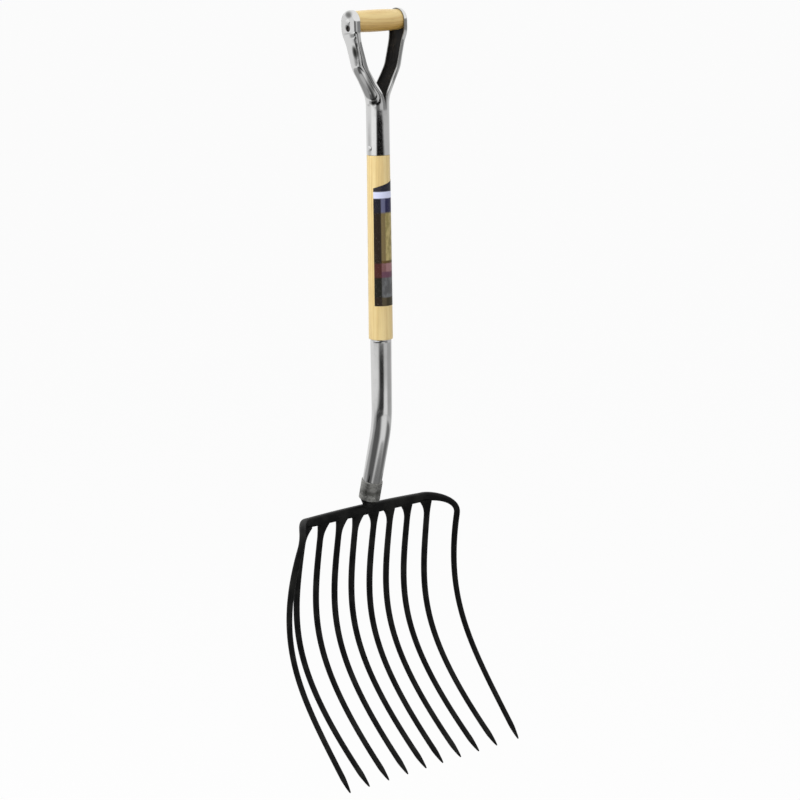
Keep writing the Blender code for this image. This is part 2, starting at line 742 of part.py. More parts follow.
bow_room = add_mesh("bow_room", bow_mesh("bow_room", FIT_GAP), cutter=True)
bore_sockets(bow_room, TENON_RADIUS, TENON_LENGTH + TENON_WASTE)
pairs = list(zip(ROOT_PLACES, BELLY_PLACES, TIP_PLACES))
rows = [(-1, places) for places in reversed(pairs)] + [(1, places) for places in pairs]
for number, (side, places) in enumerate(rows, 1):
    make_tine(number, side, places, bow_room, black)

# Rivets and their holes
grip_rivet = make_rivet("grip_rivet", GRIP_RIVET_RADIUS, GRIP_RIVET_HEAD_RADIUS,
                        GRIP_RIVET_HEAD_HEIGHT, CUP_FACE_X + FIT_GAP, chrome)
grip_rivet.location = (0, 0, GRIP_AXIS_Z)
cross_hole(yoke, GRIP_RIVET_RADIUS + PIN_CLEARANCE, grip_rivet.location)
cross_hole(yoke, CUP_HOLE_RADIUS, (0, -CUP_HOLE_DROP * tan(ARM_LEAN), GRIP_AXIS_Z - CUP_HOLE_DROP))

socket_rivet = make_rivet("socket_rivet", SOCKET_RIVET_RADIUS, SOCKET_RIVET_HEAD_RADIUS,
                          SOCKET_RIVET_HEAD_HEIGHT, YOKE_TUBE_RADIUS + FIT_GAP, chrome)
socket_rivet.location = (0, SHAFT_Y, YOKE_RIM_Z + SOCKET_RIVET_RISE)
cross_hole(yoke, SOCKET_RIVET_RADIUS + PIN_CLEARANCE, socket_rivet.location)
cross_hole(shaft, SOCKET_RIVET_RADIUS + PIN_CLEARANCE, socket_rivet.location)

flush = neck_radius(NECK_RIVET_DROP)
neck_rivet = turned("neck_rivet", [(0, flush), (NECK_RIVET_RADIUS, flush - FIT_GAP),
                                   (NECK_RIVET_RADIUS, -flush + FIT_GAP), (0, -flush)],
                    chrome, sides=RIVET_SIDES)
neck_rivet.rotation_euler = (0, pi / 2, 0)
neck_rivet.location = (0, SHAFT_Y, NECK_RIM_Z - NECK_RIVET_DROP)
cross_hole(neck, NECK_RIVET_RADIUS + PIN_CLEARANCE, neck_rivet.location)
cross_hole(shaft, NECK_RIVET_RADIUS + PIN_CLEARANCE, neck_rivet.location)
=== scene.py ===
# Ensilage fork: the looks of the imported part, in metres and in its own frame.
# The origin is under the middle of the wooden grip, +Z is up, X runs along the
# crossbar, and the tines curve towards -Y.

from math import cos, pi, radians, sin, tan

import bmesh
import bpy
from mathutils import Matrix, Vector


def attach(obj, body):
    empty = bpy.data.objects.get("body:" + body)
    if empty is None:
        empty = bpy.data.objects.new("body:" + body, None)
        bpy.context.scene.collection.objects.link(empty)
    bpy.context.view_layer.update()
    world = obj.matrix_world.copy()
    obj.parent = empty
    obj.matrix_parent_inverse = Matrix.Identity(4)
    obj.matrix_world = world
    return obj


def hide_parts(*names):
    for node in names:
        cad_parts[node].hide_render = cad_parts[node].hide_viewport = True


mm = 0.001
zAxis = Vector((0, 0, 1))
seat = 0.3 * mm     # gap between pieces that meet

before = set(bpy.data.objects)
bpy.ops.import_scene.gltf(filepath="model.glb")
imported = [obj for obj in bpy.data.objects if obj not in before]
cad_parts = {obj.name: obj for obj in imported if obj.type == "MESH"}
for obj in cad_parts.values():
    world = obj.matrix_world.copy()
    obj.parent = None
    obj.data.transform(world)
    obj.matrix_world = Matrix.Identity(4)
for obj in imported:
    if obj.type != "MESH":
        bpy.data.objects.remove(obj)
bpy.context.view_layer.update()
print("frame loaded:", len(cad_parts), "CAD nodes")


# Shapes

def ease(t):
    t = min(max(t, 0.0), 1.0)
    return t * t * (3 - 2 * t)


def mixed(a, b, share):
    return a + (b - a) * share


def along(knots, t):
    # Value at t on a smooth run through (place, value) knots.
    for (t0, v0), (t1, v1) in zip(knots, knots[1:]):
        if t <= t1:
            return mixed(v0, v1, ease((t - t0) / (t1 - t0)))
    return knots[-1][1]


def bezier(p0, p1, p2, p3, t):
    s = 1 - t
    return s**3 * p0 + 3 * s * s * t * p1 + 3 * s * t * t * p2 + t**3 * p3


def skin(name, rings, closed=False):
    # A mesh over rings of equal point counts, capped, or closed from the last to the first.
    bm = bmesh.new()
    loops = [[bm.verts.new(point) for point in points] for points in rings]
    pairs = list(zip(loops, loops[1:])) + ([(loops[-1], loops[0])] if closed else [])
    for low, high in pairs:
        for k in range(len(low)):
            n = (k + 1) % len(low)
            bm.faces.new((low[k], low[n], high[n], high[k]))
    if not closed:
        bm.faces.new(loops[0])
        bm.faces.new(loops[-1])
    bmesh.ops.recalc_face_normals(bm, faces=bm.faces)
    return fromBmesh(name, bm)


def addObject(name, data):
    made = bpy.data.objects.new(name, data)
    bpy.context.scene.collection.objects.link(made)
    return made


def fromBmesh(name, bm):
    mesh = bpy.data.meshes.new(name)
    bm.to_mesh(mesh)
    bm.free()
    return addObject(name, mesh)


def modify(made, name, kind, **settings):
    added = made.modifiers.new(name, kind)
    for key, value in settings.items():
        setattr(added, key, value)


def circle(radius, height, sides):
    return [Vector((radius * cos(2 * pi * k / sides), radius * sin(2 * pi * k / sides), height))
            for k in range(sides)]


def lathe(name, profile, sides=96, turn=None, spot=None):
    # Rings of (radius, height), turned about Z, then turned and moved into place.
    turn = turn or Matrix.Identity(3)
    spot = spot or Vector()
    rings = [[spot + turn @ point for point in circle(r, h, sides)] for r, h in profile]
    return skin(name, rings)


def corner(radius, height, rounding, start, end, steps=4):
    # Profile points round a corner whose centre is at (radius, height).
    angles = [radians(mixed(start, end, k / steps)) for k in range(steps + 1)]
    return [(radius + rounding * cos(a), height + rounding * sin(a)) for a in angles]


def frames(points, side):
    # A square pair of axes at each point of a path.
    made = []
    for k, point in enumerate(points):
        run = (points[min(k + 1, len(points) - 1)] - points[max(k - 1, 0)]).normalized()
        across = (side - side.dot(run) * run).normalized()
        made.append((point, across, run.cross(across)))
        side = across
    return made


def settle(made, sharp=35):
    # Applies the modifiers and shades the result smooth, with crisp edges.
    view = bpy.context.evaluated_depsgraph_get()
    mesh = bpy.data.meshes.new_from_object(made.evaluated_get(view))
    made.modifiers.clear()
    made.data = mesh
    mesh.shade_smooth()
    mesh.set_sharp_from_angle(angle=radians(sharp))


def dress(made, material, slotName, *nodes, sharp=35):
    # Shades, paints and rides a finished piece, and hides the CAD nodes it stands for.
    settle(made, sharp)
    if not made.data.materials:
        made.data.materials.append(material)
    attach(made, "root")
    if nodes:
        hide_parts(*nodes)


# Materials

class Flow:
    # One socket of a material's tree. Sums on it add Math nodes.
    def __init__(self, tree, socket=None):
        self.tree = tree
        self.socket = socket

    def node(self, kind, settings=None, values=None, out=0):
        made = self.tree.nodes.new("ShaderNode" + kind)
        for key, value in (settings or {}).items():
            setattr(made, key, value)
        for key, value in (values or {}).items():
            if isinstance(value, Flow):
                self.tree.links.new(value.socket, made.inputs[key])
            else:
                made.inputs[key].default_value = value
        return Flow(self.tree, made.outputs[out])

    def beside(self, *keys):
        # Other outputs of the same node.
        return [Flow(self.tree, self.socket.node.outputs[key]) for key in keys]

    def math(self, operation, *terms):
        return self.node("Math", {"operation": operation}, dict(enumerate(terms)))

    def __add__(self, other):
        return self.math("ADD", self, other)

    def __radd__(self, other):
        return self.math("ADD", other, self)

    def __sub__(self, other):
        return self.math("SUBTRACT", self, other)

    def __rsub__(self, other):
        return self.math("SUBTRACT", other, self)

    def __mul__(self, other):
        return self.math("MULTIPLY", self, other)

    def __rmul__(self, other):
        return self.math("MULTIPLY", other, self)

    def __truediv__(self, other):
        return self.math("DIVIDE", self, other)

    def __pow__(self, other):
        return self.math("POWER", self, other)

    def size(self):
        return self.math("ABSOLUTE", self)

    def most(self, other):
        return self.math("MAXIMUM", self, other)

    def above(self, edge, soft):
        # 0 below the edge and 1 above it, with a soft step of that width.
        return self.node("MapRange", {"interpolation_type": "SMOOTHSTEP"},
                         {"Value": self, "From Min": edge - soft / 2, "From Max": edge + soft / 2})

    def within(self, low, high, soft):
        return self.above(low, soft) * (1 - self.above(high, soft))

    def stretched(self, x, y, z):
        return self.node("VectorMath", {"operation": "MULTIPLY"}, {0: self, 1: (x, y, z)})

    def noise(self, scale, detail=3.0, rough=0.5):
        return self.node("TexNoise", {}, {"Vector": self, "Scale": scale, "Detail": detail,
                                          "Roughness": rough})

    def colour(self, low, high):
        # Mixes two colours, each a plain one or a socket, by this value. A Mix node
        # has its colours in sockets 6 and 7, and gives their mix as output 2.
        low = (*low, 1) if isinstance(low, tuple) else low
        high = (*high, 1) if isinstance(high, tuple) else high
        return self.node("Mix", {"data_type": "RGBA"}, {0: self, 6: low, 7: high}, out=2)

    def bump(self, depth, strength):
        return self.node("Bump", {}, {"Height": self, "Distance": depth, "Strength": strength})


def placeIn(tree):
    # The place on the piece, in metres from its origin.
    return Flow(tree).node("TexCoord", out="Object")


def parted(place):
    # The three coordinates of a place.
    return place.node("SeparateXYZ", values={0: place}).beside(0, 1, 2)


def azimuthOf(x, y):
    # Degrees round from the front, + to the right.
    return x.math("ARCTAN2", x, y * -1) * (180 / pi)


def newMaterial(name, fixed):
    # A material with those fixed values, with its place and its shader.
    made = bpy.data.materials.new(name)
    made.use_nodes = True
    shader = made.node_tree.nodes["Principled BSDF"]
    for key, value in fixed.items():
        shader.inputs[key].default_value = value
    return made, placeIn(made.node_tree), shader


def feed(shader, flows):
    for key, flow in flows.items():
        shader.id_data.links.new(flow.socket, shader.inputs[key])


# In each look, a name with Edge holds where a soft step lies and how wide it is,
# a pair for rough or coat holds the least value and what a noise adds to it, and
# clouds, spots, lines and the like hold the scale of a noise.

chromeLook = {
    "bright": (0.74, 0.74, 0.735), "dull": (0.60, 0.60, 0.585), "dustDepth": 0.35,
    "clouds": 34, "cloudEdge": (0.60, 0.3), "spots": 420, "spotEdge": (0.68, 0.1),
    "lines": 1500, "lineStretch": 0.06,
    "gloss": 0.045, "cloudGloss": 0.04, "spotGloss": 0.08, "lineGloss": 0.02,
    "swell": 16, "swellDepth": 0.05 * mm, "lineDepth": 0.001 * mm,
    "press": 34, "pressDepth": 0.12 * mm, "dome": 11, "domeEdge": (-66 * mm, 56 * mm),
    # The colour, soft edge and wander of the yoke's painted shade and painted dark reflections.
    "paintedDarkTone": (0.045, 0.045, 0.04), "paintedDarkEdge": (0.45, 0.9), "wander": 2.4 * mm,
}
# Painted shade and painted dark reflections on the yoke's chrome, seen from its side: middle (back, up), half
# sizes, how far back they lean on the way up, and depth.
paintedDarkSpots = (
    {"name": "crease", "middle": (-8 * mm, -28 * mm), "half": (8 * mm, 13 * mm),
     "lean": 0, "depth": 0.95},
    {"name": "roundHole", "middle": (0.6 * mm, 8.8 * mm), "half": (7.5 * mm, 7.5 * mm),
     "lean": 0, "depth": 0.9},
    {"name": "overRivet", "middle": (-1.8 * mm, 27.5 * mm), "half": (9.5 * mm, 7 * mm),
     "lean": 0, "depth": 0.75},
    {"name": "armLine", "middle": (-15 * mm, -84 * mm), "half": (3.2 * mm, 33 * mm),
     "lean": -0.075, "depth": 0.7},
    {"name": "armFoot", "middle": (-13 * mm, -103.5 * mm), "half": (5 * mm, 9 * mm),
     "lean": -0.1, "depth": 0.9},
)


def paintedDarkAt(y, z, cloud):
    # How deep the painted shade and painted dark reflection is at a place: the deepest of the spots there.
    y, z = (axis + (cloud - 0.5) * chromeLook["wander"] for axis in (y, z))
    paintedShade = 0
    for spot in paintedDarkSpots:
        (middleBack, middleUp), (halfBack, halfUp) = spot["middle"], spot["half"]
        up = z - middleUp
        back = (y - middleBack - up * spot["lean"]) / halfBack
        up = up / halfUp
        spread = 1 - (back * back + up * up).above(*chromeLook["paintedDarkEdge"])
        paintedShade = (spread * spot["depth"]).most(paintedShade)
    return paintedShade


def chromePlate(name, domed=False):
    # The yoke's plating is domed: its pressed faces swell a little towards
    # their middle, across the fork. Its colour also gets painted shade and painted dark reflections.
    look = chromeLook
    made, place, shader = newMaterial(name, {"Metallic": 1.0})
    cloud = place.noise(look["clouds"], 4)
    spots = place.noise(look["spots"], 2, 0.6).above(*look["spotEdge"])
    lines = place.stretched(1, 1, look["lineStretch"]).noise(look["lines"], 2)
    dust = cloud.above(*look["cloudEdge"]) * look["dustDepth"] + spots * look["dustDepth"]
    plate = dust.colour(look["bright"], look["dull"])
    relief = place.noise(look["swell"], 2) * look["swellDepth"] + lines * look["lineDepth"]
    if domed:
        _, y, z = parted(place)
        dome = z.above(*look["domeEdge"]) * look["dome"]
        relief = relief + place.noise(look["press"], 2) * look["pressDepth"] - y * y * dome
        # Painted shade and painted dark reflections: the chrome's colour goes dark in the crease, round the
        # hole, over the rivet and along the arm.
        plate = paintedDarkAt(y, z, cloud).colour(plate, look["paintedDarkTone"])
    gloss = look["gloss"] + cloud * look["cloudGloss"] + spots * look["spotGloss"]
    feed(shader, {"Base Color": plate, "Roughness": gloss + lines * look["lineGloss"],
                  "Normal": relief.bump(1.0, 1.0)})
    return made


insideLook = {"deep": (0.009, 0.0085, 0.008), "worn": (0.028, 0.024, 0.020), "shine": 0.25,
            "clouds": 60, "wornEdge": (0.58, 0.3), "rough": (0.48, 0.22),
            "grain": 700, "grainDepth": 0.08 * mm, "grainStrength": 0.3}


def nearBlackInside():
    # The inside of the yoke's channels, near-black and dull.
    look = insideLook
    made, place, shader = newMaterial("nearBlackInside", {"Specular IOR Level": look["shine"]})
    cloud = place.noise(look["clouds"], 4)
    feed(shader, {"Base Color": cloud.above(*look["wornEdge"]).colour(look["deep"], look["worn"]),
                  "Roughness": look["rough"][0] + cloud * look["rough"][1],
                  "Normal": place.noise(look["grain"], 3).bump(look["grainDepth"], look["grainStrength"])})
    return made


collarLook = {"plain": (0.40, 0.40, 0.38), "grimy": (0.16, 0.16, 0.145), "clouds": 110,
              "grime": 260, "grimeEdge": (0.55, 0.3), "grimeDepth": 0.6,
              "band": (0.07, 0.07, 0.062), "bandRise": 14 * mm, "bandHalf": 7 * mm,
              "bandEdge": (0.45, 0.9), "bandDepth": 0.62, "blotches": 2.4, "rough": (0.30, 0.22),
              "grain": 900, "grainDepth": 0.05 * mm, "grainStrength": 0.25}


def collarSteel(foot, axis):
    # Grey steel with a blotched dark band round its middle.
    look = collarLook
    made, place, shader = newMaterial("collarSteel", {"Metallic": 1.0})
    _, y, z = parted(place)
    cloud = place.noise(look["clouds"], 4)
    grime = place.noise(look["grime"], 3).above(*look["grimeEdge"]) * look["grimeDepth"]
    rise = (y - foot.y) * axis.y + (z - foot.z) * axis.z - look["bandRise"]
    away = rise.size() / look["bandHalf"] + (cloud - 0.5) * look["blotches"]
    band = (1 - away.above(*look["bandEdge"])) * look["bandDepth"]
    feed(shader, {"Base Color": band.colour(grime.colour(look["plain"], look["grimy"]), look["band"]),
                  "Roughness": look["rough"][0] + cloud * look["rough"][1],
                  "Normal": place.noise(look["grain"], 2).bump(look["grainDepth"], look["grainStrength"])})
    return made


edgeLook = {"dark": (0.20, 0.20, 0.19), "pale": (0.42, 0.42, 0.41), "tones": 240,
            "grain": 500, "rough": (0.34, 0.2)}


def cutEdge():
    # The sheared edge of the yoke's sheet, duller than its plated face.
    look = edgeLook
    made, place, shader = newMaterial("cutEdge", {"Metallic": 1.0})
    feed(shader, {"Base Color": place.noise(look["tones"], 3).colour(look["dark"], look["pale"]),
                  "Roughness": look["rough"][0] + place.noise(look["grain"], 2) * look["rough"][1]})
    return made


enamelLook = {"deep": (0.0045, 0.0045, 0.0045), "dusty": (0.013, 0.013, 0.012), "shine": 0.09,
              "clouds": 46, "dustEdge": (0.56, 0.35), "rough": (0.27, 0.16), "fineRough": 0.06,
              "fine": 900, "fineShare": 0.25, "runs": 210, "runStretch": 0.22,
              "runDepth": 0.25 * mm, "runStrength": 0.30}


def blackEnamel():
    # Black enamel with a little dust, and soft runs down the tines.
    look = enamelLook
    made, place, shader = newMaterial("blackEnamel", {"Specular IOR Level": look["shine"]})
    cloud = place.noise(look["clouds"], 5)
    fine = place.noise(look["fine"], 2)
    runs = place.stretched(1, 1, look["runStretch"]).noise(look["runs"], 3)
    rough = look["rough"][0] + cloud * look["rough"][1] + fine * look["fineRough"]
    feed(shader, {"Base Color": cloud.above(*look["dustEdge"]).colour(look["deep"], look["dusty"]),
                  "Roughness": rough,
                  "Normal": (fine * look["fineShare"] + runs).bump(look["runDepth"], look["runStrength"])})
    return made


# Varnished ash. The wander, streaks and pores are drawn out along the grain: each
# has its stretch across the grain and along it, then its noise. Rings grow round
# a heart outside the piece.
ashGrain = {
    "wander": (6, 0.7, 6, 2), "sway": 6 * mm, "ringWidth": 3.1 * mm, "ringSway": 5, "lateWood": 2.2,
    "streaks": (420, 8, 1, 4, 0.6), "pores": (1500, 26, 1, 2, 0.6), "poreEdge": (0.60, 0.12),
    "earlyPores": 0.35, "poreDepth": 0.40, "ringTone": 0.45, "streakTone": 0.7,
    "mottle": 21, "mottleEdge": (0.62, 0.3), "mottleDepth": 0.22,
    "rough": 0.40, "streakRough": 0.14, "lateRough": 0.05, "coat": 0.28, "streakCoat": 0.12,
    "coatRough": 0.16, "relief": 0.4, "reliefDepth": 0.10 * mm, "reliefStrength": 0.35,
}
shaftAsh = {"pale": (0.79, 0.615, 0.285), "brown": (0.64, 0.43, 0.155), "pore": (0.36, 0.20, 0.07),
            "heart": (26 * mm, 31 * mm), "alongX": False}
# The grip's colours are pairs, of its underside and of its top, painted darker below as shade
# and paler above as light. Its end grain, beyond a distance from its middle, is painted near-black as shade.
gripAsh = {"pale": ((0.56, 0.35, 0.085), (0.85, 0.65, 0.29)),
           "brown": ((0.41, 0.21, 0.036), (0.66, 0.41, 0.13)), "pore": (0.30, 0.15, 0.045),
           "heart": (-22 * mm, 30 * mm), "alongX": True, "litTopEdge": (15 * mm, 21 * mm),
           "paintedShade": (0.012, 0.008, 0.005), "paintedShadeEdge": (50 * mm, 0.4 * mm)}


def ashWood(name, wood):
    # The rings' late wood is brown, and the pores show most in it.
    look = ashGrain
    made, place, shader = newMaterial(name, {"Coat Roughness": look["coatRough"]})

    def drawnOut(across, run, *noise):
        stretch = (run, across, across) if wood["alongX"] else (across, across, run)
        return place.stretched(*stretch).noise(*noise)

    x, y, z = parted(place)
    pale, brown = wood["pale"], wood["brown"]
    # Painted light and shade: the grip's top is paler and its underside darker.
    if "litTopEdge" in wood:
        top = z.above(*wood["litTopEdge"])
        pale, brown = top.colour(*pale), top.colour(*brown)
    if wood["alongX"]:
        x, z = z, x
    wander = drawnOut(*look["wander"])
    dx = x - wood["heart"][0] + (wander - 0.5) * look["sway"]
    dy = y - wood["heart"][1]
    reach = (dx * dx + dy * dy) ** 0.5
    rings = reach.math("SINE", reach * (2 * pi / look["ringWidth"]) + wander * look["ringSway"])
    late = (rings * 0.5 + 0.5) ** look["lateWood"]
    streak = drawnOut(*look["streaks"])
    early = look["earlyPores"]
    pores = drawnOut(*look["pores"]).above(*look["poreEdge"]) * (early + late * (1 - early))
    tone = late * look["ringTone"] + (streak - 0.5) * look["streakTone"]
    base = (pores * look["poreDepth"]).colour(tone.colour(pale, brown), wood["pore"])
    mottle = place.noise(look["mottle"], 3).above(*look["mottleEdge"]) * look["mottleDepth"]
    base = mottle.colour(base, brown)
    # Painted shade: the end grain goes near-black, to look dark through the cups' holes.
    if "paintedShade" in wood:
        base = z.size().above(*wood["paintedShadeEdge"]).colour(base, wood["paintedShade"])
    relief = streak * look["relief"] - pores
    feed(shader, {"Base Color": base,
                  "Roughness": look["rough"] + streak * look["streakRough"] - late * look["lateRough"],
                  "Coat Weight": look["coat"] + streak * look["streakCoat"],
                  "Normal": relief.bump(look["reliefDepth"], look["reliefStrength"])})
    return made


chrome = chromePlate("chromePlate")
yokeChrome = chromePlate("yokeChrome", domed=True)
insideSteel = nearBlackInside()
cutSteel = cutEdge()
enamel = blackEnamel()
shaftWood = ashWood("shaftAsh", shaftAsh)
gripWood = ashWood("gripAsh", gripAsh)
print("materials made")


# The yoke: one tube, split and spread into two channels that end in cups

sideways = Matrix.Rotation(pi / 2, 3, "Y")     # lays what stands along Z along X
grip = {"radius": 16.6 * mm, "edge": 3.5 * mm, "gap": 0.6 * mm}
yoke = {
    "wall": 1.6 * mm, "tube": 17.8 * mm, "length": 73 * mm, "lean": radians(2),
    "turns": ((0, 33, 45 * mm, 37 * mm), (33, 16, 40 * mm, 40 * mm), (16, 0, 40 * mm, 11.8 * mm)),
    "cup": 17.6 * mm, "cupDepth": 9 * mm, "cupCorner": 5 * mm,
    "halfWidth": 14.8 * mm, "neckHalfWidth": 14.6 * mm, "depth": 13.2 * mm,
    "hole": 4.3 * mm, "holeDrop": 10 * mm, "pin": 2.8 * mm, "rivetRise": 10 * mm, "drill": 180 * mm,
    "lip": 0.45 * mm,
}


def armPath(steps=9):
    # Middle of one arm's lips, as (out, height, lean, share of the way).
    x, z, way = 0.0, 0.0, 0.0
    points = [(x, z, 0.0, way)]
    for start, end, radius, run in yoke["turns"]:
        start, end = radians(start), radians(end)
        step = (end - start) / steps
        for k in range(steps):
            chord = 2 * radius * sin(abs(step) / 2)
            x += chord * sin(start + (k + 0.5) * step)
            z += chord * cos(start + (k + 0.5) * step)
            way += chord
            points.append((x, z, start + (k + 1) * step, way))
        for k in range(steps):
            x += run / steps * sin(end)
            z += run / steps * cos(end)
            way += run / steps
            points.append((x, z, end, way))
    return [(px, pz, lean, w / way) for px, pz, lean, w in points]


armPoints = armPath()
armSpread, armRise = armPoints[-1][0], armPoints[-1][1]
gripAxis = Vector((0, 0, grip["radius"]))
crotch = gripAxis.z - armRise
yokeRim = crotch - yoke["length"]
shaftY = -armRise * tan(yoke["lean"])
cupFace = armSpread + yoke["cupDepth"]
socketSpot = Vector((0, shaftY, yokeRim + yoke["rivetRise"]))


def channel(halfWidth, depth, rounding, steps):
    # Outline of a channel from lip to lip, as (back, out) points.
    rounding = min(rounding, depth, halfWidth)
    flat, wall, arc = 2 * (halfWidth - rounding), depth - rounding, rounding * pi / 2
    whole = 2 * wall + 2 * arc + flat
    points = []
    for k in range(steps + 1):
        way = whole * k / steps
        mirrored = way > whole / 2
        way = whole - way if mirrored else way
        if way <= wall:
            back, out = -halfWidth, way
        elif way <= wall + arc:
            turn = (way - wall) / rounding
            back, out = -halfWidth + rounding * (1 - cos(turn)), wall + rounding * sin(turn)
        else:
            back, out = -halfWidth + rounding + way - wall - arc, depth
        points.append((-back if mirrored else back, out))
    return points


def yokeRings(steps):
    # Half of the tube, then one arm, whose sizes change with the share of its way.
    tube = yoke["tube"]
    widths = ((0, tube), (0.4, yoke["halfWidth"]), (0.75, yoke["neckHalfWidth"]), (0.93, yoke["cup"]))
    depths = ((0, tube), (0.4, yoke["depth"]), (0.8, yoke["cupDepth"]))
    corners = ((0, tube), (0.4, 0.9 * yoke["depth"]), (0.85, yoke["cupCorner"]))
    rings = []
    for place in (0.0, 0.25, 0.5, 0.75, 0.9):
        height = yokeRim + yoke["length"] * place
        rings.append([Vector((out, shaftY + back, height)) for back, out in channel(tube, tube, tube, steps)])
    for x, z, lean, way in armPoints:
        ring = []
        for back, out in channel(along(widths, way), along(depths, way), along(corners, way), steps):
            rise = z - out * sin(lean)
            y = shaftY + back + max(rise, 0) * tan(yoke["lean"])
            ring.append(Vector((x + out * cos(lean), y, crotch + rise)))
        rings.append(ring)
    return rings


def makeYoke(steps=56, sweep=40):
    # One half, closed by a cup swept round the grip's axis, then mirrored and thickened.
    bm = bmesh.new()
    rings = [[bm.verts.new(point) for point in ring] for ring in yokeRings(steps)]
    for low, high in zip(rings, rings[1:]):
        for k in range(steps):
            bm.faces.new((low[k], low[k + 1], high[k + 1], high[k]))
    middle = steps // 2
    before = rings[-1][middle:]
    for k in range(sweep):
        turn = Matrix.Rotation(pi * (k + 1) / sweep, 3, "X")
        fan = [bm.verts.new(gripAxis + turn @ (vert.co - gripAxis)) for vert in rings[-1][middle:]]
        bm.faces.new((before[0], before[1], fan[1]))
        for n in range(1, middle):
            bm.faces.new((before[n], before[n + 1], fan[n + 1], fan[n]))
        before = fan
    bmesh.ops.remove_doubles(bm, verts=bm.verts, dist=0.002 * mm)
    bmesh.ops.recalc_face_normals(bm, faces=bm.faces)
    made = fromBmesh("handleYoke", bm)
    for material in (yokeChrome, insideSteel, cutSteel):
        made.data.materials.append(material)
    modify(made, "otherArm", "MIRROR", merge_threshold=0.05 * mm)
    modify(made, "wall", "SOLIDIFY", thickness=yoke["wall"], offset=-1, use_even_offset=True,
           material_offset=1, material_offset_rim=2)
    holeSpot = gripAxis - yoke["holeDrop"] * Vector((0, tan(yoke["lean"]), 1))
    drills = [drillHole(made, radius, spot) for radius, spot in
              ((yoke["pin"], gripAxis), (yoke["hole"], holeSpot), (yoke["pin"], socketSpot))]
    modify(made, "lip", "BEVEL", width=yoke["lip"], segments=3, limit_method="ANGLE",
           angle_limit=radians(50), use_clamp_overlap=True)
    dress(made, yokeChrome, "chromed_steel", "handle_yoke", sharp=40)
    for drill in drills:
        bpy.data.objects.remove(drill)


def drillHole(made, radius, spot):
    half = yoke["drill"] / 2
    drill = lathe("drill", [(radius, -half), (radius, half)], 40, turn=sideways, spot=spot)
    drill.hide_render = True
    modify(made, "hole", "BOOLEAN", solver="EXACT", object=drill)
    return drill


makeYoke()
print("yoke made")


# The wooden grip and the rivets

def makeGrip(steps=24):
    end = yoke["cup"] - yoke["wall"] - grip["gap"]
    half = cupFace - yoke["wall"] - seat
    edge = grip["edge"]
    profile = [(0, -half)] + corner(end - edge, -half + edge, edge, -90, 0, 8)
    for k in range(1, steps):
        share = -1 + 2 * k / steps
        profile.append((mixed(grip["radius"], end, abs(share) ** 2), armSpread * share))
    profile += corner(end - edge, half - edge, edge, 0, 90, 8) + [(0, half)]
    made = lathe("gripBarrel", profile, turn=sideways, spot=gripAxis)
    dress(made, gripWood, "ash_wood", "wood_grip")


gripRivet = {"head": 4.8 * mm, "rise": 1.6 * mm, "shank": 2.5 * mm, "half": cupFace + 0.1 * mm,
             "under": 0.2 * mm}
socketRivet = {"head": 4.2 * mm, "rise": 1.4 * mm, "shank": 2.4 * mm, "half": yoke["tube"] + 0.1 * mm,
               "under": 0.2 * mm}


def makeRivet(name, node, rivet, spot):
    # A rivet along X: two low round heads on a shank.
    head, rise, half = rivet["head"], rivet["rise"], rivet["half"]
    angles = [radians(a) for a in range(6, 91, 12)]     # from the head's top to its rim
    profile = [(0, half + rise)] + [(head * sin(a), half + rise * cos(a)) for a in angles]
    profile += [(head - rivet["under"], half), (rivet["shank"], half)]
    profile += [(r, -h) for r, h in reversed(profile)]
    made = lathe(name, profile, 48, turn=sideways, spot=spot)
    dress(made, chrome, "chromed_steel", node, sharp=50)


makeGrip()
makeRivet("gripRivet", "grip_rivet", gripRivet, gripAxis)
makeRivet("socketRivet", "socket_rivet", socketRivet, socketSpot)
print("grip and rivets made")


# The shaft, its spigots and its label

shaft = {"length": 282.4 * mm, "top": 17.65 * mm, "bottom": 18.6 * mm, "edge": 0.8 * mm,
         "upperSpigot": 55 * mm, "lowerSpigot": 70 * mm, "lowerRadius": 14.3 * mm, "taper": 0.4 * mm,
         "chamfer": 2 * mm}
neckRim = yokeRim - shaft["length"]


def makeShaft():
    upper, lower = yoke["tube"] - yoke["wall"] - seat, shaft["lowerRadius"]
    edge, chamfer = shaft["edge"], shaft["chamfer"]
    top, bottom = yokeRim - seat, neckRim + seat
    high, low = top + shaft["upperSpigot"], bottom - shaft["lowerSpigot"]
    profile = [(0, high), (upper - chamfer, high), (upper, high - chamfer), (upper, top)]
    profile += corner(shaft["top"] - edge, top - edge, edge, 90, 0)
    profile += corner(shaft["bottom"] - edge, bottom + edge, edge, 0, -90)
    profile += [(lower, bottom), (lower - shaft["taper"], low + chamfer), (lower - chamfer, low),
                (0, low)]
    made = lathe("shaftWood", profile, spot=Vector((0, shaftY, 0)))
    dress(made, shaftWood, "ash_wood", "wood_shaft")


label = {
    "left": -71, "right": 80,      # degrees round from the front
    "topLeft": -233.5 * mm, "topRight": -219 * mm, "bottom": -413.5 * mm,
    "stand": 0.16 * mm, "thick": 0.12 * mm,
    "shine": 0.25, "coatRough": 0.22, "wobble": 1.6 * mm, "wobbles": 60,
    "leftEdge": (-34, 6), "middleEdge": (-12, 8),     # degrees
    "blocks": 150, "blockStretch": 0.6, "blockEdge": (0.5, 0.25),
    "scuff": (0.55, 0.50, 0.42), "scuffs": 700, "scuffEdge": (0.66, 0.1), "scuffDepth": 0.25,
    "rough": (0.34, 0.16), "clouds": 90, "coat": (0.08, 0.06),
    "swell": 55, "grain": 800, "grainShare": 0.08, "reliefDepth": 0.25 * mm, "reliefStrength": 0.2,
}
ink, oxblood = (0.020, 0.012, 0.007), (0.065, 0.016, 0.014)
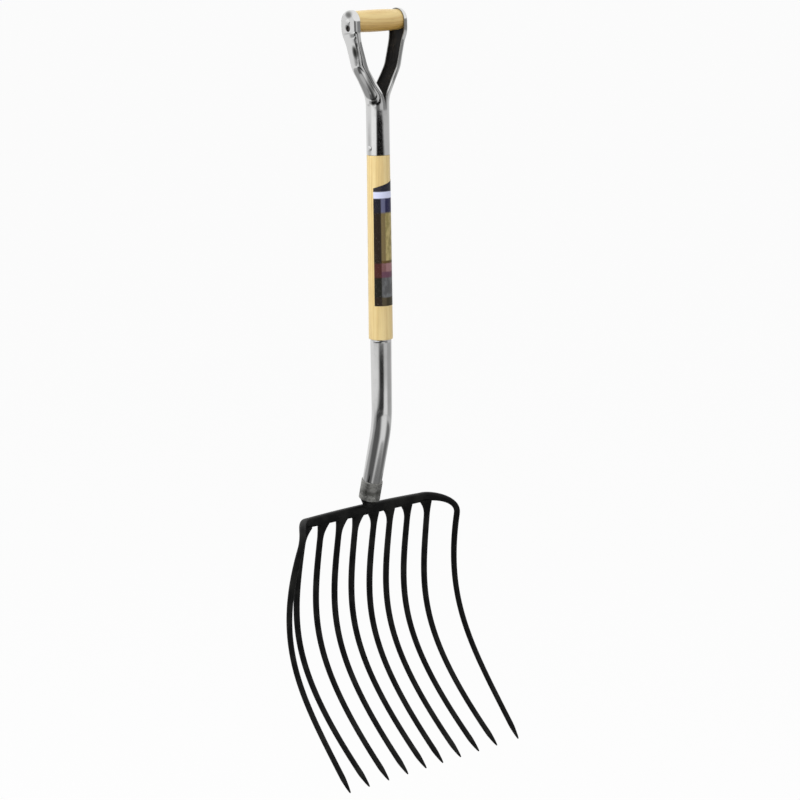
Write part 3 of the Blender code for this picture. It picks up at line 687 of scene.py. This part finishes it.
# The label's bands of colour from its foot up, in place of its print: where each starts,
# how soft that edge is, its colour, and what differs in its blocks, its middle and its left.
labelBands = (
    {"name": "hem", "from": -450 * mm, "soft": 3 * mm, "tone": (0.04, 0.03, 0.012),
     "middle": (0.075, 0.058, 0.03), "left": ink},
    {"name": "slate", "from": -400 * mm, "soft": 3 * mm, "tone": (0.092, 0.093, 0.094),
     "blocks": (0.145, 0.15, 0.155), "left": (0.012, 0.012, 0.008)},
    {"name": "plum", "from": -370 * mm, "soft": 3 * mm, "tone": (0.125, 0.050, 0.080), "left": oxblood},
    {"name": "rose", "from": -361 * mm, "soft": 3 * mm, "tone": (0.31, 0.16, 0.165),
     "middle": (0.19, 0.085, 0.085), "left": oxblood},
    {"name": "line", "from": -348 * mm, "soft": 2 * mm, "tone": (0.11, 0.065, 0.015), "left": ink},
    {"name": "panel", "from": -344 * mm, "soft": 2 * mm, "tone": (0.27, 0.22, 0.075),
     "blocks": (0.46, 0.37, 0.15), "middle": (0.185, 0.135, 0.055), "left": ink},
    {"name": "navy", "from": -271 * mm, "soft": 4 * mm, "tone": (0.014, 0.013, 0.060),
     "middle": (0.12, 0.125, 0.22), "left": (0.014, 0.013, 0.022)},
    {"name": "pale", "from": -249 * mm, "soft": 2 * mm, "tone": (0.66, 0.69, 0.90)},
    {"name": "cap", "from": -239 * mm, "soft": 2 * mm, "tone": (0.012, 0.012, 0.026),
     "left": (0.03, 0.026, 0.034)},
)


def shaftRadius(z):
    share = (yokeRim - z) / shaft["length"]
    return mixed(shaft["top"], shaft["bottom"], share)


def labelPaper():
    made, place, shader = newMaterial("labelPaper", {"Coat Roughness": label["coatRough"],
                                                     "Specular IOR Level": label["shine"]})
    x, y, z = parted(place)
    turn = azimuthOf(x, y - shaftY)
    z = z + (place.noise(label["wobbles"], 2) - 0.5) * label["wobble"]
    blocks = place.stretched(1, 1, label["blockStretch"]).noise(label["blocks"], 2)
    blocks = blocks.above(*label["blockEdge"])
    masks = {"blocks": blocks, "middle": 1 - turn.above(*label["middleEdge"]),
             "left": 1 - turn.above(*label["leftEdge"])}
    paint = labelBands[0]["tone"]
    for band in labelBands:
        tone = band["tone"]
        for part, mask in masks.items():
            if part in band:
                tone = mask.colour(tone, band[part])
        paint = z.above(band["from"], band["soft"]).colour(paint, tone)
    scuff = place.noise(label["scuffs"], 3, 0.6).above(*label["scuffEdge"]) * label["scuffDepth"]
    relief = place.noise(label["swell"], 2) + place.noise(label["grain"], 2) * label["grainShare"]
    feed(shader, {"Base Color": scuff.colour(paint, label["scuff"]),
                  "Roughness": label["rough"][0] + place.noise(label["clouds"], 3) * label["rough"][1],
                  "Coat Weight": label["coat"][0] + blocks * label["coat"][1],
                  "Normal": relief.bump(label["reliefDepth"], label["reliefStrength"])})
    return made


def makeLabel(across=48, down=40):
    bm = bmesh.new()
    rows = []
    for j in range(down + 1):
        row = []
        for i in range(across + 1):
            share = i / across
            angle = radians(mixed(label["left"], label["right"], share))
            top = mixed(label["topLeft"], label["topRight"], share)
            z = mixed(top, label["bottom"], j / down)
            reach = shaftRadius(z) + label["stand"]
            row.append(bm.verts.new((reach * sin(angle), shaftY - reach * cos(angle), z)))
        rows.append(row)
    for low, high in zip(rows, rows[1:]):
        for k in range(across):
            bm.faces.new((low[k], low[k + 1], high[k + 1], high[k]))
    bmesh.ops.recalc_face_normals(bm, faces=bm.faces)
    made = fromBmesh("shaftLabel", bm)
    modify(made, "paper", "SOLIDIFY", thickness=label["thick"], offset=0)
    dress(made, labelPaper(), "ash_wood")


makeShaft()
makeLabel()
print("shaft and label made")


# The neck and its collar

neck = {
    "top": 16.4 * mm, "bottom": 15.0 * mm, "wall": 1.8 * mm, "edge": 0.5 * mm,
    "topRun": 106.3 * mm, "bendRadius": 200 * mm, "bend": radians(14.4), "bottomRun": 102.7 * mm,
}
neckLength = neck["topRun"] + neck["bendRadius"] * neck["bend"] + neck["bottomRun"]


def neckRadius(drop):
    return mixed(neck["top"], neck["bottom"], drop / neckLength)


def neckSpot(drop):
    # Middle of the neck at a distance down it, and its direction there.
    y, z = shaftY, neckRim - min(drop, neck["topRun"])
    turned = min(max(drop - neck["topRun"], 0) / neck["bendRadius"], neck["bend"])
    y += neck["bendRadius"] * (1 - cos(turned))
    z -= neck["bendRadius"] * sin(turned)
    run = max(drop - neck["topRun"] - neck["bendRadius"] * neck["bend"], 0)
    return Vector((0, y + run * sin(turned), z - run * cos(turned))), turned


def neckRing(drop, radius, sides=96):
    middle, turned = neckSpot(drop)
    turn = Matrix.Rotation(turned, 3, "X")
    return [middle + turn @ point for point in circle(radius, 0, sides)]


def makeNeck(steps=60):
    # The outside from its rounded rim down, then the inside back up.
    edge, wall = neck["edge"], neck["wall"]
    drops = [edge + (neckLength - edge) * k / steps for k in range(steps + 1)]
    rings = [neckRing(0, neck["top"] - edge), neckRing(0.3 * edge, neck["top"] - 0.3 * edge)]
    rings += [neckRing(drop, neckRadius(drop)) for drop in drops]
    rings += [neckRing(drop, neckRadius(drop) - wall) for drop in reversed([0] + drops)]
    made = skin("neckTube", rings, closed=True)
    dress(made, chrome, "chromed_steel", "neck_tube", sharp=50)


collar = {"length": 30.5 * mm, "wall": 1.2 * mm, "edge": 0.5 * mm, "crimps": 8,
          "rise": 8 * mm, "spread": 2.6 * mm, "depth": 0.75 * mm}


def makeCollar(sides=160, steps=60):
    # A ring round the neck's foot, with crimps pressed in round it.
    inner = neckRadius(neckLength - collar["length"]) + seat
    outer = inner + collar["wall"]
    edge = collar["edge"]
    foot, turned = neckSpot(neckLength)
    turn = Matrix.Rotation(turned, 3, "X")
    profile = [(inner, collar["length"])] + corner(outer - edge, collar["length"] - edge, edge, 90, 0)
    profile += [(outer, mixed(collar["length"] - edge, edge, k / steps)) for k in range(1, steps)]
    profile += corner(outer - edge, edge, edge, 0, -90) + [(inner, 0)]
    rings = []
    for radius, height in profile:
        ring = []
        for k in range(sides):
            angle = 2 * pi * k / sides
            dent = 0.0
            for n in range(collar["crimps"]):
                turnAway = (angle - 2 * pi * (n + 0.5) / collar["crimps"] + pi) % (2 * pi) - pi
                away = ((turnAway * outer) ** 2 + (height - collar["rise"]) ** 2) ** 0.5
                dent = max(dent, 1 - ease(away / collar["spread"]))
            reach = radius - collar["depth"] * dent * (1 if radius > inner else 0)
            ring.append(foot + turn @ Vector((reach * cos(angle), reach * sin(angle), height)))
        rings.append(ring)
    made = skin("neckCollar", rings, closed=True)
    dress(made, collarSteel(foot, turn @ zAxis), "grey_steel", "socket_collar", sharp=50)


neckRivet = {"drop": 22 * mm, "shank": 2.4 * mm, "end": 2.2 * mm, "chamfer": 0.3 * mm}


def makeNeckRivet():
    # A pin along X, flush with the neck at both ends.
    flush = neckRadius(neckRivet["drop"])
    profile = [(0, flush), (neckRivet["end"], flush), (neckRivet["shank"], flush - neckRivet["chamfer"])]
    profile = [(r, -h) for r, h in profile] + profile[::-1]
    spot = Vector((0, shaftY, neckRim - neckRivet["drop"]))
    made = lathe("neckRivet", profile, 40, turn=sideways, spot=spot)
    dress(made, chrome, "chromed_steel", "neck_rivet")


makeNeck()
makeCollar()
makeNeckRivet()
print("neck and collar made")


# The head: crossbar, shank, two outer tines and eight inner ones

bar = {
    "drop": 11.2 * mm, "setBack": 4 * mm, "height": 17 * mm, "endHeight": 14.7 * mm, "depth": 12.5 * mm,
    "roundness": 3.2, "half": 120 * mm, "roundBy": 0.8,
    "shoulder": Vector((46.1, -34.5, -28.2)) * mm, "startPull": 19 * mm, "rise": 1.5 * mm,
    "endPull": 30 * mm,
}
boss = {"radius": 13.2 * mm, "edge": 0.6 * mm, "foot": 8.2 * mm, "sink": 3 * mm,
        "tang": 45 * mm, "chamfer": 3 * mm}
outer = {"rod": 4.9 * mm, "middle": 4.5 * mm, "low": 4.2 * mm, "spread": 14.9 * mm,
         "short": 1.9 * mm, "reach": 4.7 * mm,
         "rootPull": Vector((18.3, 50.1, -162.1)) * mm, "tipPull": Vector((2.7, 102.9, 126.4)) * mm}
tine = {
    "roots": (20 * mm, 54 * mm, 92 * mm, 131 * mm), "bellies": (19 * mm, 55.5 * mm, 94.5 * mm, 137.5 * mm),
    "tips": (18 * mm, 57 * mm, 97 * mm, 137.5 * mm), "drop": 375.3 * mm, "sweep": 150 * mm,
    "rootPull": Vector((0, 22.3, -141.9)) * mm, "tipPull": Vector((0, 196.2, 161.8)) * mm,
    "root": 5.0 * mm, "low": 4.3 * mm, "point": 24 * mm, "tip": 0.6 * mm, "curve": 0.6,
    "waist": 4.7 * mm, "waistDrop": 32 * mm,
    "flare": 26 * mm, "inner": 15.5 * mm, "outer": 7.2 * mm, "deep": 5.7 * mm, "sink": 4 * mm,
}
neckFoot, neckBend = neckSpot(neckLength)
barTop = neckFoot.z - bar["drop"]
barUnder = barTop - bar["height"]
barY = neckFoot.y + (neckFoot.z - (barTop + barUnder) / 2) * tan(neckBend) + bar["setBack"]
barEnd = Vector((bar["half"], barY, barUnder + bar["endHeight"] / 2))
outerTop = barEnd + bar["shoulder"]
tipZ, tipY = barUnder - tine["drop"], barY - tine["sweep"]
outerTip = Vector((outerTop.x + outer["spread"], tipY - outer["reach"], tipZ + outer["short"]))


def pointed(points, radii):
    # Radii of a rod that draws down to a rounded point.
    made = []
    for point, radius in zip(points, radii):
        left = (points[-1] - point).length / tine["point"]
        made.append(mixed(tine["tip"], radius, 1 if left >= 1 else left ** tine["curve"]))
    return made


def tipShares(length, first, steps=44, tipSteps=14):
    # Shares of a tine's way, closer together towards its point.
    tail = 1 - tine["point"] / length
    shares = [mixed(first, tail, k / steps) for k in range(steps)]
    return shares + [mixed(tail, 1, 1 - (1 - k / tipSteps) ** 2) for k in range(tipSteps + 1)]


def bowStations(barSteps=8, shoulderSteps=30):
    # Half of the bow, as (middle, half height, half depth, roundness).
    stations = []
    for k in range(barSteps):
        height = mixed(bar["height"], bar["endHeight"], (k / barSteps) ** 2) / 2
        stations.append((Vector((bar["half"] * k / barSteps, barY, barUnder + height)), height,
                         bar["depth"] / 2, bar["roundness"]))
    lift = Vector((bar["startPull"], 0, bar["rise"]))
    pull = outer["rootPull"].normalized() * bar["endPull"]
    for k in range(shoulderSteps):
        t = k / shoulderSteps
        share = ease(t / bar["roundBy"])
        middle = bezier(barEnd, barEnd + lift, outerTop - pull, outerTop, t)
        stations.append((middle, mixed(bar["endHeight"] / 2, outer["rod"], share),
                         mixed(bar["depth"] / 2, outer["rod"], share), mixed(bar["roundness"], 2, share)))
    radii = ((0, outer["rod"]), (0.4, outer["middle"]), (1, outer["low"]))
    for t in tipShares((outerTip - outerTop).length, 0):
        middle = bezier(outerTop, outerTop + outer["rootPull"], outerTip + outer["tipPull"], outerTip, t)
        radius = along(radii, t)
        stations.append((middle, radius, radius, 2))
    return stations


def barMiddleY(x):
    # How far back the bar's middle lies at a distance out.
    stations = bowStations()
    for (low, *_), (high, *_) in zip(stations, stations[1:]):
        if low.x <= x <= high.x:
            return low.lerp(high, (x - low.x) / (high.x - low.x)).y
    return barY


def makeBow(sides=36):
    middles, heights, depths, roundnesses = zip(*bowStations())
    heights, depths = pointed(middles, heights), pointed(middles, depths)
    half = []
    for k, (point, up, back) in enumerate(frames(middles, zAxis)):
        ring = []
        for n in range(sides):
            c, s = cos(2 * pi * n / sides), sin(2 * pi * n / sides)
            c = abs(c) ** (2 / roundnesses[k]) * (1 if c > 0 else -1)
            s = abs(s) ** (2 / roundnesses[k]) * (1 if s > 0 else -1)
            ring.append(point + back * depths[k] * c + up * heights[k] * s)
        half.append(ring)
    other = [[Vector((-p.x, p.y, p.z)) for p in ring] for ring in half[:0:-1]]
    made = skin("headBow", other + half)
    dress(made, enamel, "black_enamel", "head_bow", sharp=60)


def makeBoss(steps=12):
    # The shank between the neck and the bar, with its tang inside the neck.
    turn = Matrix.Rotation(neckBend, 3, "X")
    tang, high = neck["bottom"] - neck["wall"] - seat, boss["tang"]
    radius, edge = boss["radius"], boss["edge"]
    profile = [(0, high), (tang - boss["chamfer"], high), (tang, high - boss["chamfer"]), (tang, -seat)]
    profile += corner(radius - edge, -seat - edge, edge, 90, 0)
    top, foot = -seat - 2 * edge, -bar["drop"] - boss["sink"]
    for k in range(1, steps + 1):
        share = k / steps
        profile.append((mixed(radius, boss["foot"], ease(share)), mixed(top, foot, share)))
    profile.append((0, foot))
    made = lathe("headBoss", profile, 72, turn=turn, spot=neckFoot)
    dress(made, enamel, "black_enamel", sharp=50)


def makeTine(number, side, rootX, bellyX, tipX, sides=24, flareSteps=12):
    # side is -1 on the left and 1 on the right. The root flares along the bar.
    root = Vector((side * rootX, barMiddleY(rootX), barUnder))
    tip = Vector((side * tipX, tipY, tipZ))
    down, up = root + tine["rootPull"], tip + tine["tipPull"]
    down.x = up.x = side * (8 * bellyX - rootX - tipX) / 6
    length = (tip - root).length
    flareEnd, waistEnd = tine["flare"] / length, tine["waistDrop"] / length
    shares = [flareEnd * k / flareSteps for k in range(flareSteps + 1)] + tipShares(length, waistEnd)
    points = [bezier(root, down, up, tip, t) for t in shares]
    waist = ((0, tine["waist"]), (waistEnd, tine["waist"]), (3 * waistEnd, tine["root"]), (1, tine["low"]))
    wides = pointed(points, [along(waist, t) for t in shares])
    deeps = pointed(points, [along(((0, tine["root"]), (1, tine["low"])), t) for t in shares])
    rings = []
    for k, (point, across, back) in enumerate(frames(points, Vector((1, 0, 0)))):
        flare = (1 - min((point - root).length / tine["flare"], 1)) ** 2
        deep = mixed(deeps[k], tine["deep"], flare)
        ring = []
        for n in range(sides):
            angle = 2 * pi * n / sides
            inward = 0.5 - 0.5 * cos(angle) * side
            wide = mixed(wides[k], mixed(tine["outer"], tine["inner"], ease(inward)), flare)
            ring.append(point + across * wide * cos(angle) + back * deep * sin(angle))
        rings.append(ring)
    rings.insert(0, [point + zAxis * tine["sink"] for point in rings[0]])
    made = skin(f"tine{number}", rings)
    dress(made, enamel, "black_enamel", f"inner_tine_{number}", sharp=60)


makeBow()
makeBoss()
places = list(zip(tine["roots"], tine["bellies"], tine["tips"]))
for number, (side, spots) in enumerate([(-1, p) for p in places[::-1]] + [(1, p) for p in places], 1):
    makeTine(number, side, *spots)
print("head made")


# Camera, floor, lamps and reflections

# How far the camera turns right of straight back, tips down and rolls, in degrees.
camera = {"turn": 43.20, "down": 10.96, "roll": -0.73, "lens": 118.6, "film": 36, "sight": 200,
          "spot": Vector((-2.7074, -2.9286, 0.2090))}


def makeCamera():
    turn, down, roll = (radians(camera[key]) for key in ("turn", "down", "roll"))
    right = Vector((cos(turn), -sin(turn), 0))
    under = Vector((-sin(turn) * sin(down), -cos(turn) * sin(down), -cos(down)))
    ahead = Vector((sin(turn) * cos(down), cos(turn) * cos(down), -sin(down)))
    rolledRight = cos(roll) * right - sin(roll) * under
    rolledUnder = sin(roll) * right + cos(roll) * under
    data = bpy.data.cameras.new("camera")
    data.lens = camera["lens"]
    data.sensor_width = camera["film"]
    data.clip_end = camera["sight"]
    made = addObject("camera", data)
    axes = Matrix((rolledRight, -rolledUnder, -ahead)).transposed()
    made.matrix_world = Matrix.Translation(camera["spot"]) @ axes.to_4x4()
    bpy.context.scene.camera = made


stage = {"floor": -1.62, "reach": 60, "daylight": 0.52, "aim": Vector((0, 0, -0.45)),
         "floorTone": 0.92, "floorRough": 0.9, "floorWhite": 0.93}


def seenWhite(flow):
    # 1 for what the camera, a reflection or a transparent piece shows.
    paths = flow.node("LightPath").beside("Is Camera Ray", "Is Glossy Ray", "Is Transmission Ray")
    return paths[0].most(paths[1]).most(paths[2])


def makeWorld():
    world = bpy.data.worlds.new("studio")
    bpy.context.scene.world = world
    world.use_nodes = True
    background = world.node_tree.nodes["Background"]
    start = Flow(world.node_tree)
    seen = seenWhite(start)
    background.inputs["Color"].default_value = (1, 1, 1, 1)
    level = seen + (1 - seen) * stage["daylight"]
    world.node_tree.links.new(level.socket, background.inputs["Strength"])


def makeFloor():
    bm = bmesh.new()
    reach = stage["reach"]
    corners = [bm.verts.new((x, y, stage["floor"])) for x, y in
               ((-reach, -reach), (reach, -reach), (reach, reach), (-reach, reach))]
    bm.faces.new(corners)
    floor = fromBmesh("floor", bm)
    made = bpy.data.materials.new("paleFloor")
    made.use_nodes = True
    tree = made.node_tree
    start = Flow(tree)
    shader = tree.nodes["Principled BSDF"]
    shader.inputs["Base Color"].default_value = (*[stage["floorTone"]] * 3, 1)
    shader.inputs["Roughness"].default_value = stage["floorRough"]
    lit = Flow(tree, shader.outputs[0])
    white = start.node("Emission", values={"Color": (1, 1, 1, 1), "Strength": 1.0})
    both = start.node("MixShader", values={0: seenWhite(start) * stage["floorWhite"], 1: lit, 2: white})
    tree.links.new(both.socket, tree.nodes["Material Output"].inputs["Surface"])
    floor.data.materials.append(made)


def aimed(made, azimuth, height, distance):
    # Puts a lamp round the fork, azimuth 0 in front, turned to face it.
    a, e = radians(azimuth), radians(height)
    back = Vector((sin(a) * cos(e), -cos(a) * cos(e), sin(e)))
    made.location = stage["aim"] + back * distance
    made.rotation_mode = "QUATERNION"
    made.rotation_quaternion = back.to_track_quat("Z", "Y")


lamps = (
    {"name": "keyLamp", "azimuth": -105, "height": 34, "distance": 4.2, "size": 2.6, "power": 100},
    {"name": "fillLamp", "azimuth": -15, "height": 20, "distance": 4.6, "size": 2.6, "power": 34},
    {"name": "topLamp", "azimuth": -60, "height": 78, "distance": 3.6, "size": 2.2, "power": 26},
)
# Dark and light cards for the chrome to reflect: soft patches on a ring that
# stands round the fork and on a disc on the floor, which only reflections show.
# A patch runs between two azimuths, 0 in front and + to the right, whose sides
# may turn with height, and between two heights on the ring or two reaches on
# the disc. Later patches lie over earlier ones.
ring = {
    "reach": 2.0, "foot": -1.17, "top": 0.12, "tone": 0.84,
    "patches": (
        {"name": "front", "from": -72, "to": 100, "soft": (40, 50), "low": -2, "high": 1, "fade": 0.1,
         "tone": 0.57},
        {"name": "lowFront", "from": -20, "to": 24, "soft": (16, 24), "low": -2, "high": -0.93,
         "fade": 0.05, "tone": 0.84},
        {"name": "lowRight", "from": 26, "to": 82, "soft": (20, 40), "low": -2, "high": -0.78,
         "fade": 0.1, "tone": 0.42},
        {"name": "highLeft", "from": -82, "to": -22, "soft": (20, 20), "low": -0.262, "high": 1,
         "fade": 0.03, "tone": 0.16},
        {"name": "highRight", "from": 13, "to": 64, "soft": (10, 16), "low": -0.26, "high": 0.07,
         "fade": 0.04, "tone": 0.26},
        {"name": "leftGleam", "from": -108, "to": -60, "soft": (12, 16), "low": -0.385, "high": -0.262,
         "fade": 0.03, "tone": 1.05},
        {"name": "leftLine", "from": -158, "to": -120, "soft": (24, 14), "low": -0.44, "high": -0.315,
         "fade": 0.04, "tone": 0.60},
        {"name": "middleRight", "from": 4, "to": 32, "soft": (14, 14), "low": -0.76, "high": -0.43,
         "fade": 0.05, "tone": 0.24},
        {"name": "cupShade", "from": -130, "to": -80, "soft": (16, 20), "low": -0.82, "high": -0.46,
         "fade": 0.05, "tone": 0.36},
        {"name": "middleLeft", "from": -102, "to": -36, "soft": (24, 20), "low": -0.78, "high": -0.44,
         "fade": 0.05, "tone": 0.07},
        {"name": "yokeStripe", "from": -51, "to": 0, "turn": (70, -150), "soft": (18, 30), "low": -0.47,
         "high": -0.262, "fade": 0.02, "tone": 0.006},
        {"name": "neckStripe", "from": -65, "to": -14, "soft": (30, 24), "low": -0.95, "high": -0.83,
         "fade": 0.04, "tone": 0.02},
        {"name": "bendStripe", "from": -70, "to": -19, "turn": (520, 60), "soft": (44, 20), "low": -1.04,
         "high": -0.945, "fade": 0.03, "tone": 0.03},
        {"name": "footShade", "from": -190, "to": -116, "soft": (20, 24), "low": -2, "high": -1.0,
         "fade": 0.06, "tone": 0.42},
        {"name": "footStripe", "from": -116, "to": -28, "soft": (44, 24), "low": -2, "high": -1.04,
         "fade": 0.03, "tone": 0.06},
    ),
}
disc = {
    "reach": 6.5, "inner": 0.2, "rise": 0.01, "tone": 0.52,
    "patches": (
        {"name": "far", "from": -180, "to": 180, "soft": (1, 1), "low": 4.2, "high": 9, "fade": 1.4,
         "tone": 0.80},
        {"name": "backLeft", "from": -176, "to": -128, "soft": (16, 16), "low": 1.6, "high": 2.8,
         "fade": 0.3, "tone": 0.36},
        {"name": "left", "from": -122, "to": -50, "soft": (34, 34), "low": 1.45, "high": 3.9, "fade": 0.3,
         "tone": 0.11},
        {"name": "right", "from": 26, "to": 84, "soft": (30, 40), "low": 1.0, "high": 2.7, "fade": 0.5,
         "tone": 0.17},
        {"name": "front", "from": -40, "to": 16, "soft": (26, 30), "low": 1.36, "high": 3.4, "fade": 0.12,
         "tone": 0.82},
        {"name": "underFoot", "from": -45, "to": 90, "soft": (20, 30), "low": 0, "high": 1.29,
         "fade": 0.12, "tone": 0.20},
    ),
}


def makeLamps():
    for lamp in lamps:
        data = bpy.data.lights.new(lamp["name"], "AREA")
        data.energy = lamp["power"]
        data.size = lamp["size"]
        made = addObject(lamp["name"], data)
        aimed(made, lamp["azimuth"], lamp["height"], lamp["distance"])
        made.visible_glossy = False


def reflectedOnly(made, shade):
    # A stage piece that only shows in reflections, glowing with that shade.
    for ray in ("camera", "diffuse", "shadow", "transmission"):
        setattr(made, f"visible_{ray}", False)
    paint = bpy.data.materials.new(made.name)
    paint.use_nodes = True
    place = placeIn(paint.node_tree)
    glow = place.node("Emission", values={"Color": shade(place), "Strength": 1.0})
    paint.node_tree.links.new(glow.socket, paint.node_tree.nodes["Material Output"].inputs["Surface"])
    made.data.materials.append(paint)


def patched(cards, azimuth, way):
    # The grey of a ring or disc of cards at an azimuth and a height or reach.
    tone = cards["tone"]
    for patch in cards["patches"]:
        turns = patch.get("turn", (0, 0))
        drop = way - patch["high"]
        start, stop = (azimuth - patch[side] - drop * turn for side, turn in zip(("from", "to"), turns))
        cover = start.above(0, patch["soft"][0]) * (1 - stop.above(0, patch["soft"][1]))
        cover = cover * way.within(patch["low"], patch["high"], patch["fade"])
        tone = tone + (patch["tone"] - tone) * cover
    return tone


def ringShade(place):
    x, y, z = parted(place)
    return patched(ring, azimuthOf(x, y), z)


def discShade(place):
    x, y, _ = parted(place)
    return patched(disc, azimuthOf(x, y), (x * x + y * y) ** 0.5)


def makeBand(name, edges, shade, sides=96):
    # A ring of quads between two circles, each given as its radius and height.
    bm = bmesh.new()
    near, far = ([bm.verts.new(point) for point in circle(radius, height, sides)]
                 for radius, height in edges)
    for k in range(sides):
        bm.faces.new((near[k - 1], near[k], far[k], far[k - 1]))
    reflectedOnly(fromBmesh(name, bm), shade)


def makeReflections():
    makeBand("ringOfCards", ((ring["reach"], ring["foot"]), (ring["reach"], ring["top"])), ringShade)
    height = stage["floor"] + disc["rise"]
    makeBand("discOfCards", ((disc["inner"], height), (disc["reach"], height)), discShade)


makeCamera()
makeWorld()
makeFloor()
makeLamps()
makeReflections()
bpy.context.scene.view_settings.view_transform = "Standard"
print("stage set")
